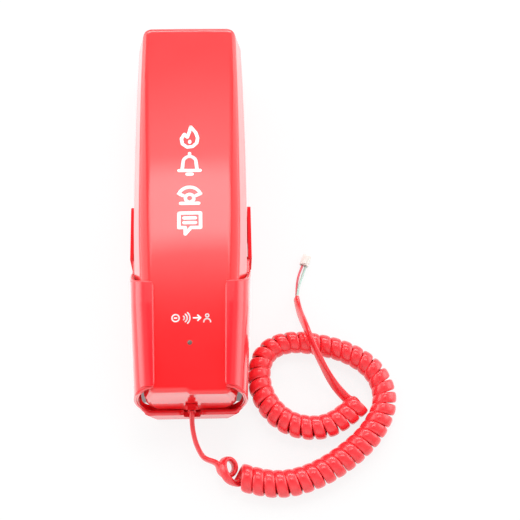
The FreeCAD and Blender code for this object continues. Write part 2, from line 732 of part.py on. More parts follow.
def mouth_cut():
    """Everything beyond the rim of the open lower end and over the shelf; the lips slant in a little further."""
    z0 = shelf_height
    rim_y = cradle_y0 + mouth_inset
    lip_z = mouth_lip_z + mouth_lip_inset * 2
    points = [(cradle_y0 - 10, 70), (cradle_y0 - 10, z0), (rim_y, z0), (rim_y, mouth_lip_z),
              (rim_y + mouth_lip_inset, lip_z), (rim_y + mouth_lip_inset, 70)]
    return prism_x(points, [0, 0, 2.0, 3.0, 1.0, 0], -60, 60)


def window_cut():
    """The open front between the lips."""
    y_low, y_high = cradle_y0 - 5, cradle_y0 + sheath_length
    points = [(-window_bottom, y_low), (window_bottom, y_low), (window_top, y_high), (window_top, y_high + 30),
              (-window_top, y_high + 30), (-window_top, y_high)]
    return prism_z(points, [0] * 6, seam_z + 6, seam_z + 40)


def cord_notch():
    z0 = shelf_height - notch_depth
    half = notch_width / 2
    points = [(-half, z0), (half, z0), (half + 2, 70), (-half - 2, 70)]
    wire = rounded_wire([V(x, cradle_y0 - 5, z) for x, z in points], [1.5, 1.5, 0, 0])
    return Part.Face(wire).extrude(V(0, shelf_wall + 8, 0))


def cradle_sheath():
    y1 = tongue_y1 + 1
    outer = sheath_loft(cradle_y0, y1, 0)
    cavity = sheath_loft(cradle_y0 + shelf_wall, y1 + 1, sheath_wall)
    floor_y = cradle_y0 + sheath_floor
    back = box(-60, 60, floor_y, y1 + 5, -5, side_slot_z)
    slots = both_sides(corner_slot())
    shell = outer.cut([cavity, lips_cut(), window_cut(), back])
    mouth = sheath_loft(cradle_y0, y1, sheath_wall).common(mouth_region())
    shell = shell.cut([mouth, cord_notch(), slots, frame_tabs(part_gap)] + floor_screw_holes(screw_clear_r, True))
    return shell.cut(mouth_cut())


def corner_slot():
    """Opening through the sheath's lower corner, beside the back plate."""
    y0, y1 = cradle_y0 + corner_slot_y0, cradle_y0 + corner_slot_y1
    points = [(y0, -5), (y1, -5), (y1, corner_slot_z), (y0, corner_slot_z)]
    return prism_x(points, [0, 0, corner_slot_r, corner_slot_r], plate_half + part_gap, 60)


def mouth_region():
    return box(-60, 60, cradle_y0 - 5, cradle_y0 + shelf_wall + 1, shelf_height, 70)


def floor_screw_places():
    return [(side * 12.0, cradle_y0 + sheath_floor - 5.0) for side in (-1, 1)]


def floor_screw_holes(radius, countersunk):
    holes = [cyl(radius, x, y, -5, 20) for x, y in floor_screw_places()]
    if countersunk:
        holes += [Part.makeCone(floor_head_r + 0.1, radius, floor_head_t, V(x, y, 0)) for x, y in floor_screw_places()]
    return holes


def frame_tabs(gap):
    """Straps of the frame that reach down inside the tongues, each with a snap nub."""
    x0 = rail_outer - rail_t - 1.0
    strap = box(x0 - gap, x0 + 1.0 + gap, tongue_y1 - 9.0 - gap, tongue_y1 + 4.0, 5.0 - gap, 13.0 + gap)
    nub = box(x0 + 0.9, rail_outer - 0.7 + gap, tongue_y1 - 6.0 - gap, tongue_y1 - 3.0 + gap, 7.0 - gap, 11.0 + gap)
    return both_sides(union([strap, nub]))


def cradle_frame():
    plate = prism_z([(-plate_half, cradle_y0 + sheath_floor + part_gap), (plate_half, cradle_y0 + sheath_floor + part_gap),
                     (plate_half, rail_y1), (-plate_half, rail_y1)], [0, 0, 0, 0], 0, plate_t)
    crossbar = box(-rail_outer + 1, rail_outer - 1, crossbar_y0, rail_y1, 0, plate_t)
    rail = prism_x([(tongue_y1 + part_gap, 0), (rail_y1, 0), (rail_y1, tongue_height), (tongue_y1 + part_gap, tongue_height)],
                   [3.0, 0.5, 4.0, 0], rail_outer - rail_t, rail_outer)
    stiffener = box(8.0, rail_outer - 1, rail_y1 - 2.0, rail_y1 - 0.4, 0, plate_t + 2.6)
    tongue = box(-16.0, 16.0, cradle_y0 + shelf_wall + 1.2, cradle_y0 + sheath_floor + 3.0, plate_t, plate_t + 2.2)
    bump = prism_x([(plunger_y - 7.0, plate_t - 0.1), (plunger_y - 5.0, plate_t + bump_height),
                    (plunger_y + 5.0, plate_t + bump_height), (plunger_y + 7.0, plate_t - 0.1)],
                   [0, 1.0, 1.0, 0], plunger_x - 4.0, plunger_x + 4.0)
    rib_y0, rib_y1 = cradle_y0 + sheath_floor + 6.0, crossbar_y0
    side_rib = box(plate_half - 1.8, plate_half, rib_y0, rib_y1, 0, plate_t + 1.8)
    solid = union([plate, crossbar, rail, mirrored(rail), stiffener, mirrored(stiffener), tongue, bump, side_rib,
                   mirrored(side_rib)] + frame_tabs(0).Solids)
    cuts = [screw_slot(slot_y0), screw_slot(slot_y1)]
    cuts += [cyl(floor_pilot_r, x, y, -1, 20) for x, y in floor_screw_places()]
    return solid.cut(cuts)


def screw_slot(y):
    half = screw_slot_length / 2 - screw_slot_r
    return union([cyl(screw_slot_r, 0, y - half, -5, 20), cyl(screw_slot_r, 0, y + half, -5, 20),
                  box(-screw_slot_r, screw_slot_r, y - half, y + half, -5, 20)])


def sheath_screws():
    screws = []
    for x, y in floor_screw_places():
        head = Part.makeCone(floor_head_r, floor_pilot_r - screw_fit, floor_head_t, V(x, y, 0.1))
        shank = cyl(floor_pilot_r - screw_fit, x, y, 0.1, plate_t + 2.0)
        slots = [box(x - 1.3, x + 1.3, y - 0.3, y + 0.3, 0, 0.8), box(x - 0.3, x + 0.3, y - 1.3, y + 1.3, 0, 0.8)]
        screws.append(union([head, shank]).cut(slots))
    return Part.makeCompound(screws)


def rest_pads():
    """Soft feet between the back plate and the mouth end of the handset."""
    y_low, y_high = handset_y0 + 18.0, handset_y0 + mouth_length - 8.0
    top = mouth_rear_z - rest_gap
    return Part.makeCompound([cyl(4.0, x, y, plate_t, top) for x in (-16.0, 16.0) for y in (y_low, y_high)])


# ---------------------------------------------------------------- cord
# Routes chosen by hand. The cord leaves the grommet, drops over the shelf's notch to the ground, curls
# round beside the phone, crosses over its own curly part and ends in two thin wires and a small connector.
LEAD = [(0.0, -113.0, 16.5), (0.1, -118.6, 16.3), (0.7, -123.8, 13.6), (2.0, -128.6, 9.4), (4.3, -133.2, 5.6),
        (7.8, -137.8, 3.6), (12.4, -141.6, 3.2), (18.0, -144.2, 4.4)]
COIL = [(18.0, -144.2), (32.0, -149.2), (49.0, -151.8), (67.0, -147.0), (84.0, -137.0), (98.5, -124.2),
        (107.6, -107.2), (103.6, -90.0), (90.0, -78.8), (72.6, -73.0), (54.4, -70.6), (41.0, -76.2), (36.2, -89.6),
        (39.6, -105.4), (51.0, -117.8), (66.6, -121.6), (81.0, -117.6), (91.7, -107.7)]
TAIL = [(86.6, -105.2, 4.6), (81.4, -99.8, 5.2), (76.6, -94.0, 9.2), (72.2, -88.0, 15.8), (67.8, -80.6, 21.6),
        (64.6, -71.6, 22.0), (62.8, -63.6, 17.0), (61.6, -57.0, 10.4), (60.8, -50.8, 5.2), (60.0, -44.2, 3.2)]
RED_WIRE = [(60.0, -44.2, 2.1), (60.3, -40.0, 1.3), (60.6, -35.8, 0.75), (61.3, -31.4, 0.75), (62.6, -27.0, 1.1),
            (64.4, -23.2, 1.6)]
GREEN_WIRE = [(60.2, -44.2, 3.5), (60.9, -39.8, 3.0), (61.9, -35.6, 2.4), (63.5, -31.2, 1.5), (65.0, -27.0, 1.3),
              (66.4, -23.5, 1.6)]
connector_size = (5.0, 6.2, 3.4)
connector_turn = 22.0           # degrees that the connector is turned from +Y towards +X
connector_place = (66.3, -20.2)
contact_pitch = 2.2


def vectors(route, z=None):
    return [V(*point) if z is None else V(point[0], point[1], z) for point in route]


def cord_lead():
    return tube(vectors(LEAD), lead_r, "cord_lead")


def cord_coil():
    return tube(vectors(COIL, coil_r), coil_r, "cord_coil")


def cord_tail():
    return tube(vectors(TAIL), lead_r, "cord_tail")


def wire_red():
    return tube(vectors(RED_WIRE), wire_r, "wire_red")


def wire_green():
    return tube(vectors(GREEN_WIRE), wire_r, "wire_green")


def turned(shape):
    """A shape drawn at the origin, put where the connector lies."""
    shape.rotate(V(0, 0, 0), Z_AXIS, -connector_turn)
    shape.translate(V(connector_place[0], connector_place[1], 0))
    return shape


def connector_housing():
    dx, dy, dz = connector_size
    shell = prism_z([(-dx / 2, -dy / 2), (dx / 2, -dy / 2), (dx / 2, dy / 2), (-dx / 2, dy / 2)], [0.4] * 4, 0, dz)
    bores = [box(x - 0.75, x + 0.75, -dy / 2 - 1, dy / 2 + 1, 0.9, 2.4) for x in (-contact_pitch / 2, contact_pitch / 2)]
    rib = box(-1.2, 1.2, -dy / 2 + 0.6, dy / 2 - 0.6, dz - 0.1, dz + 0.5)
    return turned(union([shell, rib]).cut(bores))


def connector_contacts():
    dy = connector_size[1]
    pins = [box(x - 0.6, x + 0.6, -dy / 2 + 0.3, dy / 2 - 0.5, 1.05, 1.35) for x in (-contact_pitch / 2, contact_pitch / 2)]
    return turned(Part.makeCompound(pins))


# ---------------------------------------------------------------- all the pieces
PIECES = [cradle_frame, cradle_sheath, sheath_screws, rest_pads, handset_front_shell, handset_rear_shell, case_screws,
          screw_plugs, receiver_capsule, receiver_diaphragm, receiver_gasket, ear_dust_screen, microphone, mic_boot,
          mic_dust_screen, main_board, board_screws, indicator_led, led_holder, hook_switch, hook_plunger,
          hook_spring, line_transformer, capacitors, control_chip, board_components, buzzer, cord_header,
          cord_grommet, inner_cord, receiver_wires, mic_wires, cord_lead, cord_coil, cord_tail, wire_red, wire_green,
          connector_housing, connector_contacts]


def main():
    os.makedirs("parts", exist_ok=True)
    for piece in PIECES:
        shape = piece()
        shape.exportStep("parts/" + piece.__name__ + ".step")
        print(piece.__name__, len(shape.Solids), "solid(s)", round(shape.Volume, 1), "mm3")


if __name__ == "__main__":
    main()
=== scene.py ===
"""Slimline wall phone: its looks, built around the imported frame.

The phone lies on its back on a pale floor. Sizes here are named in millimetres, and MM turns them into
the metres that the frame and Blender use.
"""
import json
import math

import bpy
import numpy as np
from mathutils import Matrix, Vector

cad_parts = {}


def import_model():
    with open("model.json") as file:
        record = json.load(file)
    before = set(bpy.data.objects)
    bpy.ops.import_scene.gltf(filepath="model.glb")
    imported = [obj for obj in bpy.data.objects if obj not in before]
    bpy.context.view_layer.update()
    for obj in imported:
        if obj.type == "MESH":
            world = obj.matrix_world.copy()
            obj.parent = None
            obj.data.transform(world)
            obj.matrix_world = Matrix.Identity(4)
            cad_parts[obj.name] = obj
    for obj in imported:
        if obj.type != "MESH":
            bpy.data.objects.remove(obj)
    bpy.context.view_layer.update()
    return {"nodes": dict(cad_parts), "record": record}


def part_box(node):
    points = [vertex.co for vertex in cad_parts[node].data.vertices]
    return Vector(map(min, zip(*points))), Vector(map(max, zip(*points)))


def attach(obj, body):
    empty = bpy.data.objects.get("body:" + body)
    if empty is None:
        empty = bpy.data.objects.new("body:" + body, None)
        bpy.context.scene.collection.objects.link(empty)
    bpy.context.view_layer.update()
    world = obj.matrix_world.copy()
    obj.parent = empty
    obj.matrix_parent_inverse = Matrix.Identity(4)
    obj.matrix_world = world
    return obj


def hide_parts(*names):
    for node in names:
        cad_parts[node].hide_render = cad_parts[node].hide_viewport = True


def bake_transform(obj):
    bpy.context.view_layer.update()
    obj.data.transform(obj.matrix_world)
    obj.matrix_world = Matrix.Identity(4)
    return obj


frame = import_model()
NODES = frame["nodes"]
MM = 0.001

# ---------------------------------------------------------------- driving dimensions (mm)
HANDSET_LENGTH = 222.3
HANDSET_HALF = 31.85               # half its width at the seam between the shells
SEAM_Z = 30.0
FACE_ENDS_Z = 45.8                 # height of the face at both ends
FACE_CROWN = 4.8                   # rise of its long arc above them
FACE_SWELL = 0.10                  # rise of its middle above its creases
SIDE_LEAN = 3.7                    # how far a side leans in from the seam to the face
SHELL_WALL = 2.0
CORD_END_INSET, CORD_TAPER_SHARE = 7.4, 0.5
EAR_END_INSET, EAR_TAPER_SHARE = 1.6, 0.38
TOP_CORNER_R, BOTTOM_CORNER_R = 6.5, 3.0
FACE_EDGE_R, TOP_EDGE_R = 2.6, 4.2
END_LEAN, END_LEAN_REACH = 1.7, 9.0

CORD_WIDTH, CORD_THICKNESS = 6.0, 2.8
CORD_SQUARENESS = 0.8              # power of its bulging section: 1 is an ellipse, less is squarer
COIL_TURNS = 46.44
WIRE_DIAMETER = 1.3

LOW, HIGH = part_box("handset_front_shell")
HANDSET_Y0, HANDSET_Y1 = LOW.y / MM, HIGH.y / MM


# ---------------------------------------------------------------- materials
# Scales are in cycles per metre. A spread is the least and greatest share of a material's roughness.
COAT_ROUGHNESS, SHEEN_ROUGHNESS = 0.05, 0.16
REFRACTIVE_INDEX = 1.46
NOISE_MIDDLE = (0.3, 0.7)
CLOUD_SCALE, GLOSS_SCALE, GRAIN_SCALE, BRUSH_SCALE, LENS_SCALE = 14.0, 60.0, 900.0, 700.0, 1500.0
GLOSS_SPREAD, BRUSH_SPREAD = (0.93, 1.07), (0.7, 1.4)
BRUSH_STRETCH = (1.0, 8.0, 1.0)
GRAIN_DEPTH = 0.05 * MM
SHARP_ANGLE = 32.0


def shader(name, color, roughness, coat=0.0, specular=0.5, metallic=0.0, transmission=0.0):
    """A new material with its node tree and its shader node."""
    material = bpy.data.materials.new(name)
    material.use_nodes = True
    bsdf = material.node_tree.nodes["Principled BSDF"]
    bsdf.inputs["Base Color"].default_value = (*color, 1.0)
    bsdf.inputs["Roughness"].default_value = roughness
    bsdf.inputs["Coat Weight"].default_value = coat
    bsdf.inputs["Coat Roughness"].default_value = COAT_ROUGHNESS
    bsdf.inputs["Specular IOR Level"].default_value = specular
    bsdf.inputs["Metallic"].default_value = metallic
    bsdf.inputs["Transmission Weight"].default_value = transmission
    bsdf.inputs["IOR"].default_value = REFRACTIVE_INDEX
    return material, material.node_tree, bsdf


def noise(tree, scale, detail=3.0, stretch=(1.0, 1.0, 1.0)):
    """A noise texture in object space, in cycles per metre."""
    coordinates = tree.nodes.new("ShaderNodeTexCoord")
    mapping = tree.nodes.new("ShaderNodeMapping")
    mapping.inputs["Scale"].default_value = stretch
    texture = tree.nodes.new("ShaderNodeTexNoise")
    texture.inputs["Scale"].default_value = scale
    texture.inputs["Detail"].default_value = detail
    tree.links.new(coordinates.outputs["Object"], mapping.inputs["Vector"])
    tree.links.new(mapping.outputs["Vector"], texture.inputs["Vector"])
    return texture.outputs["Fac"]


def ramp(tree, source, low, high):
    """The middle of a noise's range spread over the values from low to high."""
    mapped = tree.nodes.new("ShaderNodeMapRange")
    mapped.inputs["From Min"].default_value, mapped.inputs["From Max"].default_value = NOISE_MIDDLE
    mapped.inputs["To Min"].default_value = low
    mapped.inputs["To Max"].default_value = high
    tree.links.new(source, mapped.inputs["Value"])
    return mapped.outputs["Result"]


def tint(tree, bsdf, source, first, second):
    """Base colour between two colours, by the source."""
    mix = tree.nodes.new("ShaderNodeMix")
    mix.data_type = "RGBA"
    mix.inputs["A"].default_value = (*first, 1.0)
    mix.inputs["B"].default_value = (*second, 1.0)
    tree.links.new(source, mix.inputs["Factor"])
    tree.links.new(mix.outputs["Result"], bsdf.inputs["Base Color"])


def bump(tree, bsdf, source, strength, distance):
    """A fine relief by the source."""
    node = tree.nodes.new("ShaderNodeBump")
    node.inputs["Strength"].default_value = strength
    node.inputs["Distance"].default_value = distance
    tree.links.new(source, node.inputs["Height"])
    tree.links.new(node.outputs["Normal"], bsdf.inputs["Normal"])


def moulded(name, color, roughness, deeper=0.95, grain=0.03, specular=0.5, coat=0.0, sheen=0.0):
    """Moulded plastic: faint cloudiness in colour and gloss, and a trace of orange peel."""
    material, tree, bsdf = shader(name, color, roughness, specular=specular, coat=coat)
    bsdf.inputs["Sheen Weight"].default_value = sheen
    bsdf.inputs["Sheen Roughness"].default_value = SHEEN_ROUGHNESS
    cloud = ramp(tree, noise(tree, CLOUD_SCALE, 2.0), 0.0, 1.0)
    tint(tree, bsdf, cloud, color, tuple(c * deeper for c in color))
    gloss = ramp(tree, noise(tree, GLOSS_SCALE, 4.0), *(roughness * share for share in GLOSS_SPREAD))
    tree.links.new(gloss, bsdf.inputs["Roughness"])
    bump(tree, bsdf, noise(tree, GRAIN_SCALE, 2.0), grain, GRAIN_DEPTH)
    return material


RED = (0.93, 0.008, 0.012)
CRADLE_RED = (0.93, 0.010, 0.020)
CORD_RED = (0.92, 0.026, 0.036)
MATERIALS = {
    "handset_red": moulded("handset_red", RED, 0.3, coat=1.0, sheen=0.25),
    "cradle_red": moulded("cradle_red", CRADLE_RED, 0.3, coat=1.0, sheen=0.3),
    "cord_red": moulded("cord_red", CORD_RED, 0.35, deeper=0.9, grain=0.08, coat=0.7, sheen=0.15),
    "plunger_red": moulded("plunger_red", (0.7, 0.015, 0.015), 0.3),
    "pad_rubber": moulded("pad_rubber", (0.025, 0.025, 0.027), 0.7),
    "plug_rubber": moulded("plug_rubber", (0.7, 0.012, 0.016), 0.55),
    "capsule_black": moulded("capsule_black", (0.02, 0.02, 0.022), 0.4),
    "switch_black": moulded("switch_black", (0.015, 0.015, 0.016), 0.45),
    "diaphragm": moulded("diaphragm", (0.62, 0.55, 0.36), 0.25),
    "foam": moulded("foam", (0.06, 0.06, 0.065), 0.9, grain=0.6),
    "screen_cloth": moulded("screen_cloth", (0.02, 0.02, 0.022), 0.95, grain=0.9),
    "board_green": moulded("board_green", (0.01, 0.14, 0.045), 0.4),
    "spacer_white": moulded("spacer_white", (0.8, 0.8, 0.76), 0.5),
    "transformer_core": moulded("transformer_core", (0.16, 0.16, 0.17), 0.5),
    "capacitor_sleeve": moulded("capacitor_sleeve", (0.01, 0.02, 0.14), 0.3),
    "resistor_body": moulded("resistor_body", (0.55, 0.4, 0.24), 0.45),
    "wire_red": moulded("wire_red", (0.80, 0.16, 0.20), 0.35),
    "wire_green": moulded("wire_green", (0.46, 0.66, 0.58), 0.35),
    "wire_black": moulded("wire_black", (0.015, 0.015, 0.015), 0.4),
    "connector_white": moulded("connector_white", (0.80, 0.79, 0.74), 0.4),
}


def metal(name, color, roughness):
    """Metal with a faint brushed grain in its gloss."""
    material, tree, bsdf = shader(name, color, roughness, metallic=1.0)
    grain = noise(tree, BRUSH_SCALE, 4.0, BRUSH_STRETCH)
    brushed = ramp(tree, grain, *(roughness * share for share in BRUSH_SPREAD))
    tree.links.new(brushed, bsdf.inputs["Roughness"])
    return material


def lamp_lens():
    """A small smoked lamp that is not lit."""
    material, tree, bsdf = shader("led_lens", (0.20, 0.13, 0.10), 0.12, transmission=0.25, coat=0.5)
    cloud = ramp(tree, noise(tree, LENS_SCALE), 0.0, 1.0)
    tint(tree, bsdf, cloud, (0.22, 0.15, 0.12), (0.14, 0.09, 0.07))
    return material


MATERIALS["screw_steel"] = metal("screw_steel", (0.55, 0.55, 0.55), 0.3)
MATERIALS["spring_steel"] = metal("spring_steel", (0.5, 0.5, 0.52), 0.25)
MATERIALS["mic_metal"] = metal("mic_metal", (0.75, 0.75, 0.76), 0.3)
MATERIALS["contact_tin"] = metal("contact_tin", (0.75, 0.71, 0.62), 0.3)
MATERIALS["led_lens"] = lamp_lens()
PRINT_WHITE = moulded("print_white", (0.92, 0.92, 0.92), 0.4, deeper=0.97)

SLOT_OF = {part["node"]: part["material_slot"] for part in frame["record"]["subparts"]}
SATIN_NODES = ("cradle_frame", "cord_grommet")
FRAME_RED = moulded("frame_red", (0.90, 0.008, 0.016), 0.55, specular=0.25)
for node_name, node in NODES.items():
    node.data.materials.clear()
    node.data.materials.append(FRAME_RED if node_name in SATIN_NODES else MATERIALS[SLOT_OF[node_name]])
    node.data.shade_smooth()
    node.data.set_sharp_from_angle(angle=math.radians(SHARP_ANGLE))


# ---------------------------------------------------------------- mesh helpers
def mesh_object(name, points, faces, material, body, sharp=40.0):
    """A mesh of points in mm with its material, riding on a body where one is given."""
    mesh = bpy.data.meshes.new(name)
    mesh.from_pydata([tuple(c * MM for c in p) for p in points], [], faces)
    mesh.validate()
    mesh.shade_smooth()
    mesh.set_sharp_from_angle(angle=math.radians(sharp))
    obj = bpy.data.objects.new(name, mesh)
    bpy.context.scene.collection.objects.link(obj)
    mesh.materials.append(material)
    if body:
        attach(obj, body)
    return obj


def grid_faces(rows, columns, start=0, wrap=False):
    """Quads between rows of points, closed round each row if it wraps."""
    faces = []
    last = columns if wrap else columns - 1
    for r in range(rows - 1):
        for c in range(last):
            a, b = start + r * columns + c, start + r * columns + (c + 1) % columns
            faces.append((a, b, b + columns, a + columns))
    return faces


class Line:
    """A polyline that is read by distance."""

    def __init__(self, points):
        self.points = points
        self.marks = [0.0]
        for a, b in zip(points, points[1:]):
            self.marks.append(self.marks[-1] + (b - a).length)
        self.length = self.marks[-1]

    def at(self, distance):
        """The place at a distance from the start, held within the line's ends."""
        distance = min(max(distance, 0.0), self.length)
        low, high = 0, len(self.marks) - 1
        while high - low > 1:
            middle = (low + high) // 2
            if self.marks[middle] <= distance:
                low = middle
            else:
                high = middle
        span = self.marks[high] - self.marks[low]
        share = (distance - self.marks[low]) / span if span else 0.0
        return self.points[low].lerp(self.points[high], share)

    def along(self, distance, reach=1.5):
        """The line's direction there, over a short reach to both sides."""
        return (self.at(distance + reach) - self.at(distance - reach)).normalized()


def ease(share):
    """A smooth step from 0 to 1."""
    share = min(max(share, 0.0), 1.0)
    return share * share * (3 - 2 * share)


def round_arc(center, radius, start, stop, steps):
    """Points of an arc, with its angles in radians."""
    return [(center[0] + radius * math.cos(start + (stop - start) * k / steps),
             center[1] + radius * math.sin(start + (stop - start) * k / steps)) for k in range(steps + 1)]


def swept(path, widths, section, scales=None):
    """Points and faces of a section carried along a path; widths say which way its width lies."""
    points = []
    for k, center in enumerate(path):
        way = (path[min(k + 1, len(path) - 1)] - path[max(k - 1, 0)]).normalized()
        across = (widths[k] - way * widths[k].dot(way)).normalized()
        through = way.cross(across)
        size = scales[k] if scales else 1.0
        points += [center + (across * a + through * b) * size for a, b in section]
    count = len(section)
    faces = grid_faces(len(path), count, wrap=True)
    faces.append(tuple(reversed(range(count))))
    faces.append(tuple((len(path) - 1) * count + c for c in range(count)))
    return points, faces


# ---------------------------------------------------------------- handset front shell (mm)
# The crease parts the face from a strip that slopes down to a rounded edge. Its distance from the centre line
# grows from the cord end to the ear end. The strip's fall is a share of its width.
LEAST_END_R = 0.4
CREASE_HALF, CREASE_GAIN, CREASE_POWER = 19.4, 7.0, 0.9
STRIP_LEAST, STRIP_FALL, STRIP_POWER = 1.6, 0.26, 0.9
STRIP_EDGE_R, STRIP_EDGE_ARC = 1.1, (0.12, math.pi / 2 - 0.25)
SIDE_LEAN_SHARE, EDGE_LEAN_SHARE = 0.9, 0.95
SIDE_STEPS, EDGE_STEPS, SLOPE_STEPS, CROWN_STEPS = 8, 8, 6, 10
END_PLACES = (0.0, 0.05, 0.15, 0.3, 0.5, 0.75, 1.0, 1.4, 1.8, 2.3, 3.0, 4.0, 5.0, 6.5, 8.5)
EVEN_MARGIN, EVEN_STEPS = 10, 64


def end_drop(y, radius_low, radius_high, inset=0.0):
    """How far an edge that is rounded at both ends falls away at y."""
    drop = 0.0
    ends = ((y - HANDSET_Y0 - inset, radius_low - inset), (HANDSET_Y1 - inset - y, radius_high - inset))
    for distance, end_r in ends:
        radius = max(end_r, LEAST_END_R)
        if distance < radius:
            reach = (radius - distance) / radius
            drop += radius * (1 - math.sqrt(max(0.0, 1 - reach * reach)))
    return drop


def half_width(y):
    """Half the handset's width at its seam."""
    share = (y - HANDSET_Y0) / HANDSET_LENGTH
    taper = CORD_END_INSET * max(0.0, 1 - share / CORD_TAPER_SHARE) ** 2
    return HANDSET_HALF - taper - EAR_END_INSET * max(0.0, 1 - (1 - share) / EAR_TAPER_SHARE) ** 2


def face_z(y):
    """Height of the face's long arc."""
    middle = (HANDSET_Y0 + HANDSET_Y1) / 2
    return FACE_ENDS_Z + FACE_CROWN * (1 - ((y - middle) / (HANDSET_LENGTH / 2)) ** 2)


def crease_half(y):
    """Distance from the centre line to the crease where the sloping strip beside the face begins."""
    share = (y - HANDSET_Y0) / HANDSET_LENGTH
    return CREASE_HALF + CREASE_GAIN * share ** CREASE_POWER


def front_profile(y, inset):
    """Right half of the front shell's section at y, from the seam to the centre line: a list of (x, z)."""
    half = half_width(y) - inset - end_drop(y, BOTTOM_CORNER_R, TOP_CORNER_R, inset)
    top = face_z(y) - inset - end_drop(y, FACE_EDGE_R, TOP_EDGE_R, inset)
    lean = SIDE_LEAN * (top - SEAM_Z) / (FACE_ENDS_Z - SEAM_Z)
    crease = min(crease_half(y), half - lean - STRIP_LEAST)
    edge_z = top - STRIP_FALL * (half - lean - crease) - STRIP_EDGE_R
    side = [(half - lean * SIDE_LEAN_SHARE * k / SIDE_STEPS, SEAM_Z + (edge_z - SEAM_Z) * k / SIDE_STEPS)
            for k in range(SIDE_STEPS + 1)]
    edge_center = (half - lean * EDGE_LEAN_SHARE - STRIP_EDGE_R, edge_z)
    edge = round_arc(edge_center, STRIP_EDGE_R, *STRIP_EDGE_ARC, EDGE_STEPS)
    run_x, run_z = edge[-1]
    slope = [(run_x + (crease - run_x) * share, run_z + (top - run_z) * share ** STRIP_POWER)
             for share in (k / SLOPE_STEPS for k in range(1, SLOPE_STEPS))]
    crown = [(crease * share, top + FACE_SWELL * (1 - share ** 2))
             for share in (1 - k / CROWN_STEPS for k in range(CROWN_STEPS + 1))]
    return side + edge + slope + crown


def front_stations():
    """Places along Y where the section is drawn, close together at both ends."""
    places = [HANDSET_Y0 + d for d in END_PLACES] + [HANDSET_Y1 - d for d in END_PLACES]
    span = HANDSET_Y1 - HANDSET_Y0 - 2 * EVEN_MARGIN
    places += [HANDSET_Y0 + EVEN_MARGIN + span * k / EVEN_STEPS for k in range(EVEN_STEPS + 1)]
    return sorted(places)


def leaned(y, z):
    """The place along Y of a point of the right half: the cord end's wall leans out towards the face."""
    near = ease((HANDSET_Y0 + END_LEAN_REACH - y) / END_LEAN_REACH)
    return y - END_LEAN * near * (max(0.0, z - SEAM_Z) / (FACE_ENDS_Z - SEAM_Z)) ** 2


def front_skin(inset):
    """Rows of points over the shell. The right half's end wall leans, and the left half's is upright."""
    rows = []
    for station in front_stations():
        y = min(max(station, HANDSET_Y0 + inset), HANDSET_Y1 - inset)
        profile = front_profile(y, inset)
        right = [(x, leaned(y, z), z) for x, z in profile]
        left = [(-x, y, z) for x, z in reversed(profile[:-1])]
        rows.append(right + left)
    return rows


def front_shell():
    """The front shell as a closed skin: outside, inside, the rims along the seam and the end walls."""
    outer, inner = front_skin(0.0), front_skin(SHELL_WALL)
    rows, columns = len(outer), len(outer[0])
    points = [point for row in outer + inner for point in row]
    second = rows * columns
    last = second - columns
    faces = grid_faces(rows, columns)
    faces += [tuple(reversed(face)) for face in grid_faces(rows, columns, second)]
    for k in range(rows - 1):
        for column in (0, columns - 1):
            a, b = k * columns + column, (k + 1) * columns + column
            quad = (a, b, second + b, second + a)
            faces.append(quad if column == 0 else tuple(reversed(quad)))
    faces.append(tuple(reversed(range(columns))))
    faces.append(tuple(range(last, last + columns)))
    faces.append(tuple(range(second, second + columns)))
    faces.append(tuple(reversed(range(second + last, second + last + columns))))
    end = columns - 1
    faces.append((0, end, second + end, second))
    faces.append((last + end, last, second + last, second + last + end))
    red = MATERIALS["handset_red"]
    cover = mesh_object("front_cover", points, faces, red, "handset", sharp=55)
    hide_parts("handset_front_shell")


front_shell()


# ---------------------------------------------------------------- printed signs on the face (mm)
# Plain pictograms: a flame, a bell, a telephone handset and a speech bubble down the grip, and four
# small ones over the lamp. Each stroke is a list of (x, y) in units of its own sign's half height.
PRINT_LIFT = 0.04
SIGN_X, SIGN_HALF, SIGN_STROKE = 0.2, 6.9, 1.9
SIGN_Y = {"flame": 36.0, "bell": 18.9, "handset": 1.6, "bubble": -16.6}
MARK_Y, MARK_HALF, MARK_STROKE = -70.5, 2.4, 0.75
MARK_X = {"dial": -7.4, "waves": -1.8, "arrow": 3.9, "person": 9.2}
DAB_CORNERS = 12


def arc(x, y, radius, start, stop, steps=14):
    """Points of an arc, with its angles in degrees."""
    return round_arc((x, y), radius, math.radians(start), math.radians(stop), steps)


